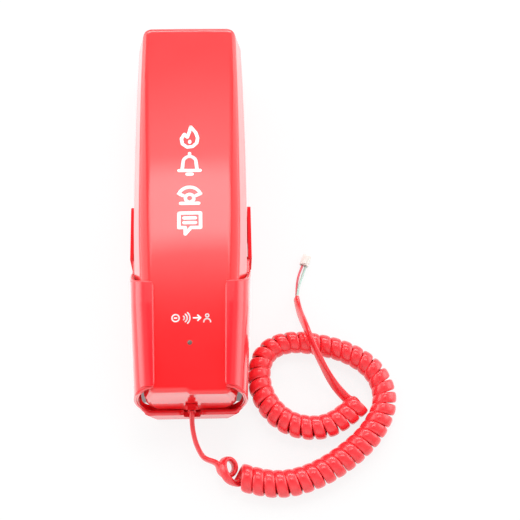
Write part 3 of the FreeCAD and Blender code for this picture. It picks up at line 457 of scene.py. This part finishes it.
STROKES = {
    "flame": [
        [(0.1, 1.0), (0.5, 0.45), (0.66, -0.05), (0.58, -0.52), (0.25, -0.85), (-0.2, -0.9),
         (-0.58, -0.6), (-0.66, -0.12), (-0.42, 0.3), (-0.18, 0.02), (-0.02, 0.5), (0.1, 1.0)],
        [(0.02, -0.36), (0.02, -0.46)]],
    "bell": [
        [(-0.85, -0.55), (0.85, -0.55)],
        [(-0.6, -0.5), (-0.52, 0.2)] + arc(0.0, 0.2, 0.52, 180, 0) + [(0.6, -0.5)],
        [(0.0, 0.72), (0.0, 1.0)],
        [(-0.2, -0.88), (0.2, -0.88)]],
    "handset": [
        arc(0.0, -0.45, 0.92, 158, 22),
        [(-0.88, -0.1), (-0.5, -0.28)],
        [(0.88, -0.1), (0.5, -0.28)],
        arc(0.0, -0.5, 0.34, 0, 360),
        [(-0.72, -0.95), (0.72, -0.95)]],
    "bubble": [
        [(-0.85, 0.85), (0.85, 0.85), (0.85, -0.4), (0.1, -0.4), (-0.35, -0.95), (-0.35, -0.4),
         (-0.85, -0.4), (-0.85, 0.85)],
        [(-0.45, 0.42), (0.45, 0.42)],
        [(-0.45, 0.02), (0.45, 0.02)]],
    "dial": [arc(0.0, 0.0, 0.8, 0, 360, 20), [(-0.25, 0.0), (0.25, 0.0)]],
    "waves": [arc(-0.9, 0.0, 0.5, -50, 50), arc(-0.9, 0.0, 1.1, -50, 50), arc(-0.9, 0.0, 1.7, -45, 45)],
    "arrow": [[(-0.8, 0.0), (0.7, 0.0)], [(0.15, 0.6), (0.8, 0.0), (0.15, -0.6)]],
    "person": [arc(0.0, 0.5, 0.35, 0, 360), arc(0.0, -0.95, 0.75, 180, 0)],
}


def printed_signs():
    """The pictograms as one skin of paint on the curved face: quads with a round dab at each joint."""
    points, faces = [], []

    def patch(corners):
        start = len(points)
        for x, y in corners:
            swell = FACE_SWELL * (1 - (x / crease_half(y)) ** 2)
            points.append((x, y, face_z(y) + swell + PRINT_LIFT))
        faces.append(tuple(range(start, len(points))))

    def paint(sign, x0, y0, half, width):
        for stroke in STROKES[sign]:
            line = [Vector((x0 + half * x, y0 + half * y)) for x, y in stroke]
            for a, b in zip(line, line[1:]):
                way = (b - a).normalized()
                side = Vector((-way.y, way.x)) * width / 2
                patch((a - side, b - side, b + side, a + side))
            for joint in line:
                patch(arc(joint.x, joint.y, width / 2, 0, 360 - 360 / DAB_CORNERS, DAB_CORNERS - 1))

    for sign, y in SIGN_Y.items():
        paint(sign, SIGN_X, y, SIGN_HALF, SIGN_STROKE)
    for sign, x in MARK_X.items():
        paint(sign, x, MARK_Y, MARK_HALF, MARK_STROKE)
    mesh_object("printed_signs", points, faces, PRINT_WHITE, "handset")


printed_signs()


# ---------------------------------------------------------------- rounded rim of the cradle's sheath (mm)
# The sheath's sizes as its rim needs them, close to the solid's.
CRADLE_Y0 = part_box("cradle_sheath")[0].y / MM
SHEATH_WALL, SHEATH_LENGTH, SHEATH_TAPER = 2.0, 76.0, 3.6
SHEATH_TOP_HALF, SHEATH_SIDE_Z = 33.65, 27.0
SHEATH_LOW_CORNER, SHEATH_LOW_SIDE = (5.2, 4.8), (1.8, 14.0)
SHELF_WALL, SHELF_HEIGHT, SHELF_REACH = 3.0, 9.0, 21.0
LIP_GAP, LIP_SHOULDER, SHOULDER_EASE, SHOULDER_RUN = 0.6, 3.2, 0.9, 0.75
LIP_BEND, LIP_DROP, LIP_TUCK = (0.25, 11.5), 3.6, 2.5
LIP_CUT_SLOPE, LIP_CUT_Z = 0.53, 25.0
TONGUE_HEIGHT, TONGUE_CLEAR = 20.0, 1.2
MOUTH_INSET, MOUTH_LIP_INSET, MOUTH_LIP_Z, MOUTH_FOOT = 3.4, 2.4, 43.0, 5.0
WINDOW_BOTTOM, WINDOW_TOP, WINDOW_RUN = 18.6, 20.0, 5.0
NOTCH_HALF = 4.5
WALL_SAMPLES, WINDOW_STEPS = 90, 24

# The rim is sunk a little into the wall's edge and turns its corners within RIM_TURN. From the side's foot it
# goes down the corner, along the shelf and into the cord's notch, and grows to the shelf's wall on its way.
RIM_SUNK, RIM_TURN = 0.3, 1.6
RIM_STEPS, RIM_SIDES, RIM_SMOOTH = 320, 14, 0.5
RIM_UP = (0.3, 0.2, 1.0)
CORNER_STEPS = [(-0.5, -0.1, -2.4), (-1.7, -0.7, -4.1)]
CORNER_END = (-3.6, 0.3, 0.5)
NOTCH_STEPS = [(3.6, 0.0), (1.9, -0.5), (1.2, -1.8)]
SHELF_EASE_START, SHELF_EASE_RUN, SHELF_EASE_Z = 7.0, 6.0, 20.0


def smooth_through(points, steps):
    """A natural cubic spline through points in a plane, sampled evenly along its chords."""
    places = np.array(points)
    spans = np.linalg.norm(np.diff(places, axis=0), axis=1)
    knots = np.concatenate(([0.0], np.cumsum(spans)))
    count = len(knots)
    system, right = np.eye(count), np.zeros((count, 2))
    for k in range(1, count - 1):
        system[k, k - 1:k + 2] = spans[k - 1], 2 * (spans[k - 1] + spans[k]), spans[k]
        right[k] = 6 * ((places[k + 1] - places[k]) / spans[k] - (places[k] - places[k - 1]) / spans[k - 1])
    bend = np.linalg.solve(system, right)
    samples = []
    for t in np.linspace(0.0, knots[-1], steps):
        k = min(int(np.searchsorted(knots, t, side="right")) - 1, count - 2)
        h, a, b = spans[k], knots[k + 1] - t, t - knots[k]
        curved = (bend[k] * a ** 3 + bend[k + 1] * b ** 3) / (6 * h)
        straight = (places[k] / h - bend[k] * h / 6) * a + (places[k + 1] / h - bend[k + 1] * h / 6) * b
        samples.append(curved + straight)
    return np.array(samples)


def sheath_half(y):
    """Half the sheath's width at y, at its widest height."""
    return SHEATH_TOP_HALF - SHEATH_TAPER * (1 - min(1.0, (y - CRADLE_Y0) / SHEATH_LENGTH))


def wall_line(y):
    """The middle of the sheath's wall in its section at y: (x, z) from the bottom round to the lip."""
    inset = SHEATH_WALL / 2
    half = sheath_half(y) - inset
    lip = face_z(max(y, HANDSET_Y0)) + LIP_GAP + SHEATH_WALL - inset
    shoulder = LIP_SHOULDER - SHOULDER_EASE * min(1.0, (y - CRADLE_Y0) / (SHEATH_LENGTH * SHOULDER_RUN))
    return smooth_through([(half - SHEATH_LOW_CORNER[0], SHEATH_LOW_CORNER[1] + inset),
                           (half - SHEATH_LOW_SIDE[0], SHEATH_LOW_SIDE[1]),
                           (half, SHEATH_SIDE_Z),
                           (half - LIP_BEND[0] * shoulder, lip - LIP_BEND[1]),
                           (half - shoulder, lip - LIP_DROP),
                           (WINDOW_BOTTOM - LIP_TUCK, lip)], WALL_SAMPLES)


def window_edge(y):
    """Half the open width between the two lips at y."""
    share = (y - CRADLE_Y0 + WINDOW_RUN) / (SHEATH_LENGTH + WINDOW_RUN)
    return WINDOW_BOTTOM + (WINDOW_TOP - WINDOW_BOTTOM) * share


def lip_rim():
    """The rim over the side's and the lip's top edge, from above the tongue inwards."""
    y_top = CRADLE_Y0 + SHEATH_LENGTH
    line = []
    for k, (_, top_z) in enumerate(wall_line(y_top)):
        if top_z < TONGUE_HEIGHT + TONGUE_CLEAR:
            continue
        y = y_top + (LIP_CUT_Z - top_z) * LIP_CUT_SLOPE
        x, z = wall_line(y)[k]
        if x < window_edge(y) + SHEATH_WALL / 2:
            break
        line.append(Vector((x, y - RIM_SUNK, z)))
    return line


def window_rim(y_high, y_low):
    """The rim down the lip's inner edge."""
    line = []
    for k in range(WINDOW_STEPS + 1):
        y = y_high + (y_low - y_high) * k / WINDOW_STEPS
        x = window_edge(y) + RIM_SUNK
        section = wall_line(y)
        line.append(Vector((x, y, float(np.interp(-x, -section[:, 0], section[:, 1])))))
    return line


def mouth_rim(y_section):
    """The rim round the open lower end, from the lip down the side."""
    line = []
    for x, z in wall_line(y_section)[::-1]:
        if x < window_edge(y_section) + SHEATH_WALL / 2 or z < SHELF_HEIGHT + MOUTH_FOOT:
            continue
        slant = min(1.0, max(0.0, (z - MOUTH_LIP_Z) / (2 * MOUTH_LIP_INSET)))
        line.append(Vector((x, CRADLE_Y0 + MOUTH_INSET + MOUTH_LIP_INSET * slant + RIM_SUNK, z)))
    return line


def shelf_rim(foot):
    """The rim from the foot of the side round the corner, along the shelf and down into the cord's notch."""
    shelf_y, shelf_z = CRADLE_Y0 + SHELF_WALL / 2, SHELF_HEIGHT - RIM_SUNK
    line = [foot + Vector(step) for step in CORNER_STEPS]
    line.append(Vector((foot.x + CORNER_END[0], shelf_y + CORNER_END[1], shelf_z + CORNER_END[2])))
    line.append(Vector((SHELF_REACH, shelf_y, shelf_z)))
    line += [Vector((NOTCH_HALF + out, shelf_y, shelf_z + rise)) for out, rise in NOTCH_STEPS]
    return line


def rim_right():
    """The whole rim's line on the right side, from above the tongue to the cord's notch."""
    lip = lip_rim()
    y_low = CRADLE_Y0 + MOUTH_INSET + MOUTH_LIP_INSET + RIM_TURN
    window = window_rim(lip[-1].y - RIM_TURN, y_low)
    mouth = mouth_rim(y_low)
    return lip + window + mouth + shelf_rim(mouth[-1])


def rim_radius(place):
    """Half the wall that the rim rounds: the sheath's, or the thicker shelf's towards its middle."""
    if place.z >= SHELF_EASE_Z:
        return SHEATH_WALL / 2
    on_shelf = ease((SHELF_REACH + SHELF_EASE_START - place.x) / SHELF_EASE_RUN)
    return (SHEATH_WALL + (SHELF_WALL - SHEATH_WALL) * on_shelf) / 2


def sheath_rim():
    """A rounded bead along the sheath's free edges, as thick as its wall, on the right and on the left."""
    line = Line(rim_right())
    marks = [line.length * k / RIM_STEPS for k in range(RIM_STEPS + 1)]
    path = [(line.at(mark - RIM_SMOOTH) + line.at(mark) + line.at(mark + RIM_SMOOTH)) / 3 for mark in marks]
    radii = [rim_radius(place) for place in path]
    turns = [2 * math.pi * k / RIM_SIDES for k in range(RIM_SIDES)]
    ring = [(math.cos(turn), math.sin(turn)) for turn in turns]
    for side, name in ((1, "sheath_rim_right"), (-1, "sheath_rim_left")):
        course = [Vector((side * place.x, place.y, place.z)) for place in path]
        way_up = Vector((side * RIM_UP[0], RIM_UP[1], RIM_UP[2]))
        points, faces = swept(course, [way_up] * len(course), ring, radii)
        mesh_object(name, points, faces, MATERIALS["cradle_red"], "cradle", sharp=60)


sheath_rim()


# ---------------------------------------------------------------- cord routes (mm), the same as the solids'
LEAD = [(0.0, -113.0, 16.5), (0.1, -118.6, 16.3), (0.7, -123.8, 13.6), (2.0, -128.6, 9.4), (4.3, -133.2, 5.6),
        (7.8, -137.8, 3.6), (12.4, -141.6, 3.2), (18.0, -144.2, 4.4)]
COIL = [(18.0, -144.2), (32.0, -149.2), (49.0, -151.8), (67.0, -147.0), (84.0, -137.0), (98.5, -124.2),
        (107.6, -107.2), (103.6, -90.0), (90.0, -78.8), (72.6, -73.0), (54.4, -70.6), (41.0, -76.2),
        (36.2, -89.6), (39.6, -105.4), (51.0, -117.8), (66.6, -121.6), (81.0, -117.6), (91.7, -107.7)]
TAIL = [(86.6, -105.2, 4.6), (81.4, -99.8, 5.2), (76.6, -94.0, 9.2), (72.2, -88.0, 15.8), (67.8, -80.6, 21.6),
        (64.6, -71.6, 22.0), (62.8, -63.6, 17.0), (61.6, -57.0, 10.4), (60.8, -50.8, 5.2), (60.0, -44.2, 3.2)]
RED_WIRE = [(60.0, -44.2, 2.1), (60.3, -40.0, 1.3), (60.6, -35.8, 0.75), (61.3, -31.4, 0.75),
            (62.6, -27.0, 1.1), (64.4, -23.2, 1.6)]
GREEN_WIRE = [(60.2, -44.2, 3.5), (60.9, -39.8, 3.0), (61.9, -35.6, 2.4), (63.5, -31.2, 1.5),
              (65.0, -27.0, 1.3), (66.4, -23.5, 1.6)]

# Shares run from 0 to 1 along the curly part. A run is the share where a change starts and how long it takes.
# The lead is cut short before its end and the tail after its start, and smooth bridges join them to the coil.
UP = Vector((0, 0, 1))
COIL_AXIS_Z = 7.0
COIL_WIDE_R = 7.45
COIL_SHRINK, COIL_SHRINK_RUN = 1.25, (0.22, 0.3)
COIL_SWELL, COIL_SWELL_RUN = 0.55, (0.62, 0.2)
START_TURN, TURN_STEPS = -0.17, 36
FIRST_TURN_TILT, FIRST_TURN_SHRINK, FIRST_TURN_HOLD = 1.15, 0.2, 0.6
FIRST_TURN_SHIFT = Vector((0.6, 3.2, 0.0))
LEAD_CUT, LEAD_PULL, LEAD_STEPS = 17.0, 5.0, 150
TAIL_CUT, TAIL_PULL, TAIL_STEPS = 3.0, 6.0, 120
TAIL_ROLL, TAIL_ROLL_SHARE = (0.9, 1.35), 0.3
BRIDGE_STEPS, SECTION_CORNERS = 24, 18
ROUTE_RESOLUTION, WIRE_RESOLUTION, WIRE_ROUNDNESS = 24, 16, 4


def nurbs_object(name, route, resolution):
    """A curve object along the smooth NURBS line of a route in mm."""
    curve = bpy.data.curves.new(name, "CURVE")
    curve.dimensions = "3D"
    spline = curve.splines.new("NURBS")
    spline.points.add(len(route) - 1)
    for point, place in zip(spline.points, route):
        point.co = (*[c * MM for c in place], 1.0)
    spline.order_u = 3
    spline.use_endpoint_u = True
    spline.resolution_u = resolution
    obj = bpy.data.objects.new(name, curve)
    bpy.context.scene.collection.objects.link(obj)
    return obj


def smooth_line(name, route):
    """A route's NURBS line as a polyline in mm."""
    holder = nurbs_object(name, route, ROUTE_RESOLUTION)
    curve = holder.data
    bpy.context.view_layer.update()
    graph = bpy.context.evaluated_depsgraph_get()
    mesh = bpy.data.meshes.new_from_object(holder.evaluated_get(graph))
    points = [v.co / MM for v in mesh.vertices]
    bpy.data.objects.remove(holder)
    bpy.data.meshes.remove(mesh)
    bpy.data.curves.remove(curve)
    return Line(points)


def bridge(a, a_way, b, b_way, pull):
    """Points between a and b on a smooth bridge that leaves along a_way and arrives along b_way."""
    points = []
    for k in range(1, BRIDGE_STEPS):
        t = k / BRIDGE_STEPS
        points.append(a * (1 - t) ** 3 + (a + a_way * pull) * 3 * t * (1 - t) ** 2
                      + (b - b_way * pull) * 3 * t * t * (1 - t) + b * t ** 3)
    return points


def turning(first, last):
    """The way that the cord's width lies along a bridge, from the first way to the last."""
    return [first.lerp(last, ease(k / BRIDGE_STEPS)).normalized() for k in range(1, BRIDGE_STEPS)]


def coil_radius(share):
    """Outer radius of the curly part: widest along the near run, tightest at the far side of the ring."""
    tight = ease((share - COIL_SHRINK_RUN[0]) / COIL_SHRINK_RUN[1])
    wide = ease((share - COIL_SWELL_RUN[0]) / COIL_SWELL_RUN[1])
    return COIL_WIDE_R - COIL_SHRINK * tight + COIL_SWELL * wide


def coil_turns():
    """The curly part's centre line and the way its width lies. Its first turn is small and leans."""
    axis = smooth_line("coil_line", [(x, y, COIL_AXIS_Z) for x, y in COIL])
    path, widths = [], []
    total = round(COIL_TURNS * TURN_STEPS)
    for k in range(total + 1):
        share = k / total
        first = 1 - ease(share * COIL_TURNS - FIRST_TURN_HOLD)
        radius = coil_radius(share) * (1 - FIRST_TURN_SHRINK * first)
        tilt = FIRST_TURN_TILT * first
        along = axis.along(axis.length * share)
        outward = along.cross(UP).normalized()
        normal = (along * math.cos(tilt) + UP * math.sin(tilt)).normalized()
        upward = outward.cross(normal).normalized() * -1
        center = axis.at(axis.length * share).lerp(axis.at(0.0) + FIRST_TURN_SHIFT, first)
        center.z = radius * math.cos(tilt) + CORD_WIDTH / 2 * math.sin(tilt)
        angle = 2 * math.pi * (START_TURN + COIL_TURNS * share)
        middle = radius - CORD_THICKNESS / 2
        path.append(center + (outward * math.cos(angle) + upward * math.sin(angle)) * middle)
        widths.append(normal)
    return path, widths


def tail_run(tail):
    """The tail's centre line and the way its width lies, rolling on to its edge."""
    path, widths = [], []
    for k in range(TAIL_STEPS + 1):
        distance = TAIL_CUT + (tail.length - TAIL_CUT) * k / TAIL_STEPS
        flat = UP.cross(tail.along(distance)).normalized() * -1
        roll = TAIL_ROLL[0] + (TAIL_ROLL[1] - TAIL_ROLL[0]) * ease(k / TAIL_STEPS / TAIL_ROLL_SHARE)
        path.append(tail.at(distance))
        widths.append((flat * math.cos(roll) + UP * math.sin(roll)).normalized())
    return path, widths


def curly_path():
    """The flat cord's centre line and, for each point, the way its width lies."""
    lead, tail = smooth_line("lead_line", LEAD), smooth_line("tail_line", TAIL)
    reach = lead.length - LEAD_CUT
    lead_path = [lead.at(reach * k / LEAD_STEPS) for k in range(LEAD_STEPS + 1)]
    coil_path, coil_widths = coil_turns()
    tail_path, tail_widths = tail_run(tail)
    way_in = (coil_path[1] - coil_path[0]).normalized()
    way_out = (coil_path[-1] - coil_path[-2]).normalized()
    lead_bridge = bridge(lead_path[-1], lead.along(reach), coil_path[0], way_in, LEAD_PULL)
    tail_bridge = bridge(coil_path[-1], way_out, tail_path[0], tail.along(TAIL_CUT), TAIL_PULL)
    path = lead_path + lead_bridge + coil_path + tail_bridge + tail_path
    widths = [UP] * len(lead_path) + turning(UP, coil_widths[0]) + coil_widths
    widths += turning(coil_widths[-1], tail_widths[0]) + tail_widths
    return path, widths


def flat_section():
    """Corners of the flat cord's bulging section: across its width and through its thickness."""
    corners = []
    for k in range(SECTION_CORNERS):
        turn = 2 * math.pi * k / SECTION_CORNERS
        across, through = math.cos(turn), math.sin(turn)
        corners.append((CORD_WIDTH / 2 * math.copysign(abs(across) ** CORD_SQUARENESS, across),
                        CORD_THICKNESS / 2 * math.copysign(abs(through) ** CORD_SQUARENESS, through)))
    return corners


def thin_wire(name, node, route, slot):
    """One of the two wires at the cord's end, in place of its plain tube."""
    wire = nurbs_object(name, route, WIRE_RESOLUTION)
    wire.data.bevel_depth = WIRE_DIAMETER / 2 * MM
    wire.data.bevel_resolution = WIRE_ROUNDNESS
    wire.data.use_fill_caps = True
    wire.data.materials.append(MATERIALS[slot])
    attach(wire, "cradle")
    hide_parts(node)
    return wire


def curly_cord():
    """The flat curly cord in place of its three plain solids, and its two wires; the connector's solids are
    only listed with them.
    """
    path, widths = curly_path()
    points, faces = swept(path, widths, flat_section())
    cord = mesh_object("curly_cord", points, faces, MATERIALS["cord_red"], None, sharp=60)
    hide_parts("cord_lead", "cord_coil", "cord_tail")
    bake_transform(cord)
    ends = [thin_wire("red_wire", "wire_red", RED_WIRE, "wire_red"),
            thin_wire("green_wire", "wire_green", GREEN_WIRE, "wire_green")]
    ends += [NODES["connector_housing"], NODES["connector_contacts"]]


curly_cord()


# ---------------------------------------------------------------- floor (mm)
FLOOR_HALF, FLOOR_DROP = 2500.0, 0.2
FLOOR_WHITENESS, FLOOR_IN_REFLECTIONS = 0.84, 1.1
PAPER_ALBEDO = 0.86
SHADE_MIDDLE, SHADE_HALF, SHADE_LIGHT = (-0.6, -98.0), (29.4, 5.0), 0.2


def worked_out(tree, operation, *inputs, clamp=False):
    """A math node's output; its inputs are numbers or other nodes' outputs."""
    node = tree.nodes.new("ShaderNodeMath")
    node.operation = operation
    node.use_clamp = clamp
    for socket, value in zip(node.inputs, inputs):
        if isinstance(value, (int, float)):
            socket.default_value = value
        else:
            tree.links.new(value, socket)
    return node.outputs[0]


def separated(tree, vector):
    """A vector's X, Y and Z."""
    parts = tree.nodes.new("ShaderNodeSeparateXYZ")
    tree.links.new(vector, parts.inputs[0])
    return parts.outputs


def floor_light(tree):
    """1 all over the floor, and less in a painted patch of shade under the cradle's lower end."""
    place = separated(tree, tree.nodes.new("ShaderNodeNewGeometry").outputs["Position"])
    outside = []
    for axis, middle, half in zip("XY", SHADE_MIDDLE, SHADE_HALF):
        off = worked_out(tree, "ABSOLUTE", worked_out(tree, "SUBTRACT", place[axis], middle * MM))
        outside.append(worked_out(tree, "GREATER_THAN", off, half * MM))
    clear = worked_out(tree, "MAXIMUM", *outside)
    return worked_out(tree, "MULTIPLY_ADD", clear, 1 - SHADE_LIGHT, SHADE_LIGHT)


def paper():
    """White paper: mostly a light of its own where it is seen or mirrored, and plain paper for the rest."""
    material = bpy.data.materials.new("floor_paper")
    material.use_nodes = True
    tree = material.node_tree
    tree.nodes.clear()
    output = tree.nodes.new("ShaderNodeOutputMaterial")
    matt = tree.nodes.new("ShaderNodeBsdfDiffuse")
    white = tree.nodes.new("ShaderNodeEmission")
    white.inputs["Color"].default_value = (1, 1, 1, 1)
    ray = tree.nodes.new("ShaderNodeLightPath").outputs
    strength = worked_out(tree, "MULTIPLY_ADD", ray["Is Glossy Ray"], FLOOR_IN_REFLECTIONS - 1, 1.0)
    tree.links.new(strength, white.inputs["Strength"])
    light = floor_light(tree)
    tree.links.new(worked_out(tree, "MULTIPLY", light, PAPER_ALBEDO), matt.inputs["Color"])
    seen = worked_out(tree, "MAXIMUM", ray["Is Camera Ray"], ray["Is Glossy Ray"])
    glow = worked_out(tree, "MULTIPLY", worked_out(tree, "MULTIPLY", seen, FLOOR_WHITENESS), light)
    mix = tree.nodes.new("ShaderNodeMixShader")
    for source, socket in zip((glow, matt.outputs[0], white.outputs[0]), mix.inputs):
        tree.links.new(source, socket)
    tree.links.new(mix.outputs[0], output.inputs[0])
    return material


def floor():
    """A square of paper just under the phone's back."""
    size = FLOOR_HALF * MM
    corners = [(-size, -size, 0), (size, -size, 0), (size, size, 0), (-size, size, 0)]
    mesh = bpy.data.meshes.new("floor")
    mesh.from_pydata(corners, [], [(0, 1, 2, 3)])
    mesh.materials.append(paper())
    plane = bpy.data.objects.new("floor", mesh)
    plane.location.z = -FLOOR_DROP * MM
    bpy.context.scene.collection.objects.link(plane)


# ---------------------------------------------------------------- light
# A light tent. Each soft box has a direction that points at it, the angles within which it is full and
# beyond which it is dark, and a power. Each bar has its elevations, its reach to either side and a power.
# Angles are in degrees. The lamp's place, aim and size are in mm.
TENT_LEVEL = 0.52
TENT_BOXES = [((0.0, 0.44, 0.90), 4.0, 17.0, 1.3),
              ((-0.86, 0.38, 0.34), 14.0, 42.0, 2.9),
              ((0.86, 0.38, 0.34), 14.0, 42.0, 2.3),
              ((0.0, -0.92, 0.38), 15.0, 55.0, 0.8)]
TENT_BARS = [(24.0, 36.0, 30.0, 6.5), (61.5, 69.5, 42.0, 3.3)]
BAR_SOFTNESS, BAR_END_SOFTNESS = 0.3, 0.4
GAP_DIRECTION, GAP_REACH, GAP_DEPTH = (0.0, 0.087, 0.996), (6.0, 17.0), 0.97
COSINE_LIMIT = 0.99999             # keeps an arc cosine's input within its range
LAMP_PLACE, LAMP_AIM = (150.0, 450.0, 950.0), (30.0, -50.0, 0.0)
LAMP_SIZE, LAMP_POWER = 450.0, 2.4


def sky_patch(tree, direction, inner, outer):
    """1 within inner degrees of a direction, 0 beyond outer degrees, smooth between."""
    place = tree.nodes.new("ShaderNodeTexCoord")
    dot = tree.nodes.new("ShaderNodeVectorMath")
    dot.operation = "DOT_PRODUCT"
    dot.inputs[1].default_value = Vector(direction).normalized()
    tree.links.new(place.outputs["Generated"], dot.inputs[0])
    cosine = worked_out(tree, "MULTIPLY", dot.outputs["Value"], COSINE_LIMIT)
    angle = worked_out(tree, "ARCCOSINE", cosine)
    fade = tree.nodes.new("ShaderNodeMapRange")
    fade.interpolation_type = "SMOOTHSTEP"
    fade.inputs["From Min"].default_value = math.radians(outer)
    fade.inputs["From Max"].default_value = math.radians(inner)
    tree.links.new(angle, fade.inputs["Value"])
    return fade.outputs["Result"]


def sky_bar(tree, low, high, azimuth_reach):
    """1 in a level bar beyond the ear end, between two elevations in degrees, with soft edges and ends."""
    way = separated(tree, tree.nodes.new("ShaderNodeTexCoord").outputs["Generated"])
    middle, half = math.radians((low + high) / 2), math.radians((high - low) / 2)
    reach = math.radians(azimuth_reach)
    elevation = worked_out(tree, "ARCSINE", way["Z"])
    above = worked_out(tree, "ABSOLUTE", worked_out(tree, "SUBTRACT", elevation, middle))
    beside = worked_out(tree, "ABSOLUTE", worked_out(tree, "ARCTAN2", way["X"], way["Y"]))
    left_above = worked_out(tree, "SUBTRACT", half * (1 + BAR_SOFTNESS), above)
    left_beside = worked_out(tree, "SUBTRACT", reach, beside)
    level = worked_out(tree, "DIVIDE", left_above, half * 2 * BAR_SOFTNESS, clamp=True)
    across = worked_out(tree, "DIVIDE", left_beside, reach * BAR_END_SOFTNESS, clamp=True)
    return worked_out(tree, "MULTIPLY", level, across)


def world():
    """An even level, soft boxes over the ear end, at both sides and at the foot, a dark gap and two bars."""
    studio = bpy.data.worlds.new("studio")
    bpy.context.scene.world = studio
    studio.use_nodes = True
    tree = studio.node_tree
    level = worked_out(tree, "ADD", 0.0, TENT_LEVEL)
    for direction, inner, outer, power in TENT_BOXES:
        level = worked_out(tree, "MULTIPLY_ADD", sky_patch(tree, direction, inner, outer), power, level)
    gap = worked_out(tree, "MULTIPLY_ADD", sky_patch(tree, GAP_DIRECTION, *GAP_REACH), -GAP_DEPTH, 1.0)
    level = worked_out(tree, "MULTIPLY", level, gap)
    for low, high, reach, power in TENT_BARS:
        level = worked_out(tree, "MULTIPLY_ADD", sky_bar(tree, low, high, reach), power, level)
    background = tree.nodes["Background"]
    background.inputs["Color"].default_value = (1, 1, 1, 1)
    tree.links.new(level, background.inputs["Strength"])


def key_lamp():
    """A square soft lamp that isn't seen in reflections."""
    light = bpy.data.lights.new("key", "AREA")
    light.shape = "RECTANGLE"
    light.size = light.size_y = LAMP_SIZE * MM
    light.energy = LAMP_POWER
    lamp = bpy.data.objects.new("key", light)
    bpy.context.scene.collection.objects.link(lamp)
    lamp.visible_glossy = False
    lamp.location = Vector(LAMP_PLACE) * MM
    lamp.rotation_euler = (Vector(LAMP_AIM) - Vector(LAMP_PLACE)).to_track_quat("-Z", "Y").to_euler()


# ---------------------------------------------------------------- camera (mm and degrees)
CAMERA_ELEVATION, CAMERA_ROLL = 68.0, -0.8
CAMERA_DISTANCE, CAMERA_STAND_X = 620.0, 17.0
CAMERA_AIM = Vector((39.0, -26.6, 20.0))
CAMERA_CLIP = (10.0, 20000.0)
SENSOR_WIDTH = 36.0
PICTURE_SIDE, MM_PER_PIXEL = 520, 0.567


def camera():
    """Seen from above the phone's foot, turned a little to the right to take in the cord."""
    elevation, roll = math.radians(CAMERA_ELEVATION), math.radians(CAMERA_ROLL)
    forward = Vector((0, math.cos(elevation), -math.sin(elevation)))
    up = Vector((0, math.sin(elevation), math.cos(elevation)))
    right = Vector((1, 0, 0))
    place = Vector((CAMERA_STAND_X, CAMERA_AIM.y, CAMERA_AIM.z)) - forward * CAMERA_DISTANCE
    toward = CAMERA_AIM - place
    pan = math.atan2(toward.dot(right), toward.dot(forward))
    look = forward * math.cos(pan) + right * math.sin(pan)
    side = right * math.cos(pan) - forward * math.sin(pan)
    side_rolled = side * math.cos(roll) + up * math.sin(roll)
    up_rolled = up * math.cos(roll) - side * math.sin(roll)
    data = bpy.data.cameras.new("camera")
    data.sensor_width = SENSOR_WIDTH
    data.lens = SENSOR_WIDTH * toward.length / MM_PER_PIXEL / PICTURE_SIDE
    data.clip_start, data.clip_end = (reach * MM for reach in CAMERA_CLIP)
    obj = bpy.data.objects.new("camera", data)
    bpy.context.scene.collection.objects.link(obj)
    turn = Matrix((side_rolled, up_rolled, -look)).transposed().to_4x4()
    obj.matrix_world = Matrix.Translation(place * MM) @ turn
    bpy.context.scene.camera = obj


floor()
world()
key_lamp()
camera()
bpy.context.scene.view_settings.view_transform = "Standard"
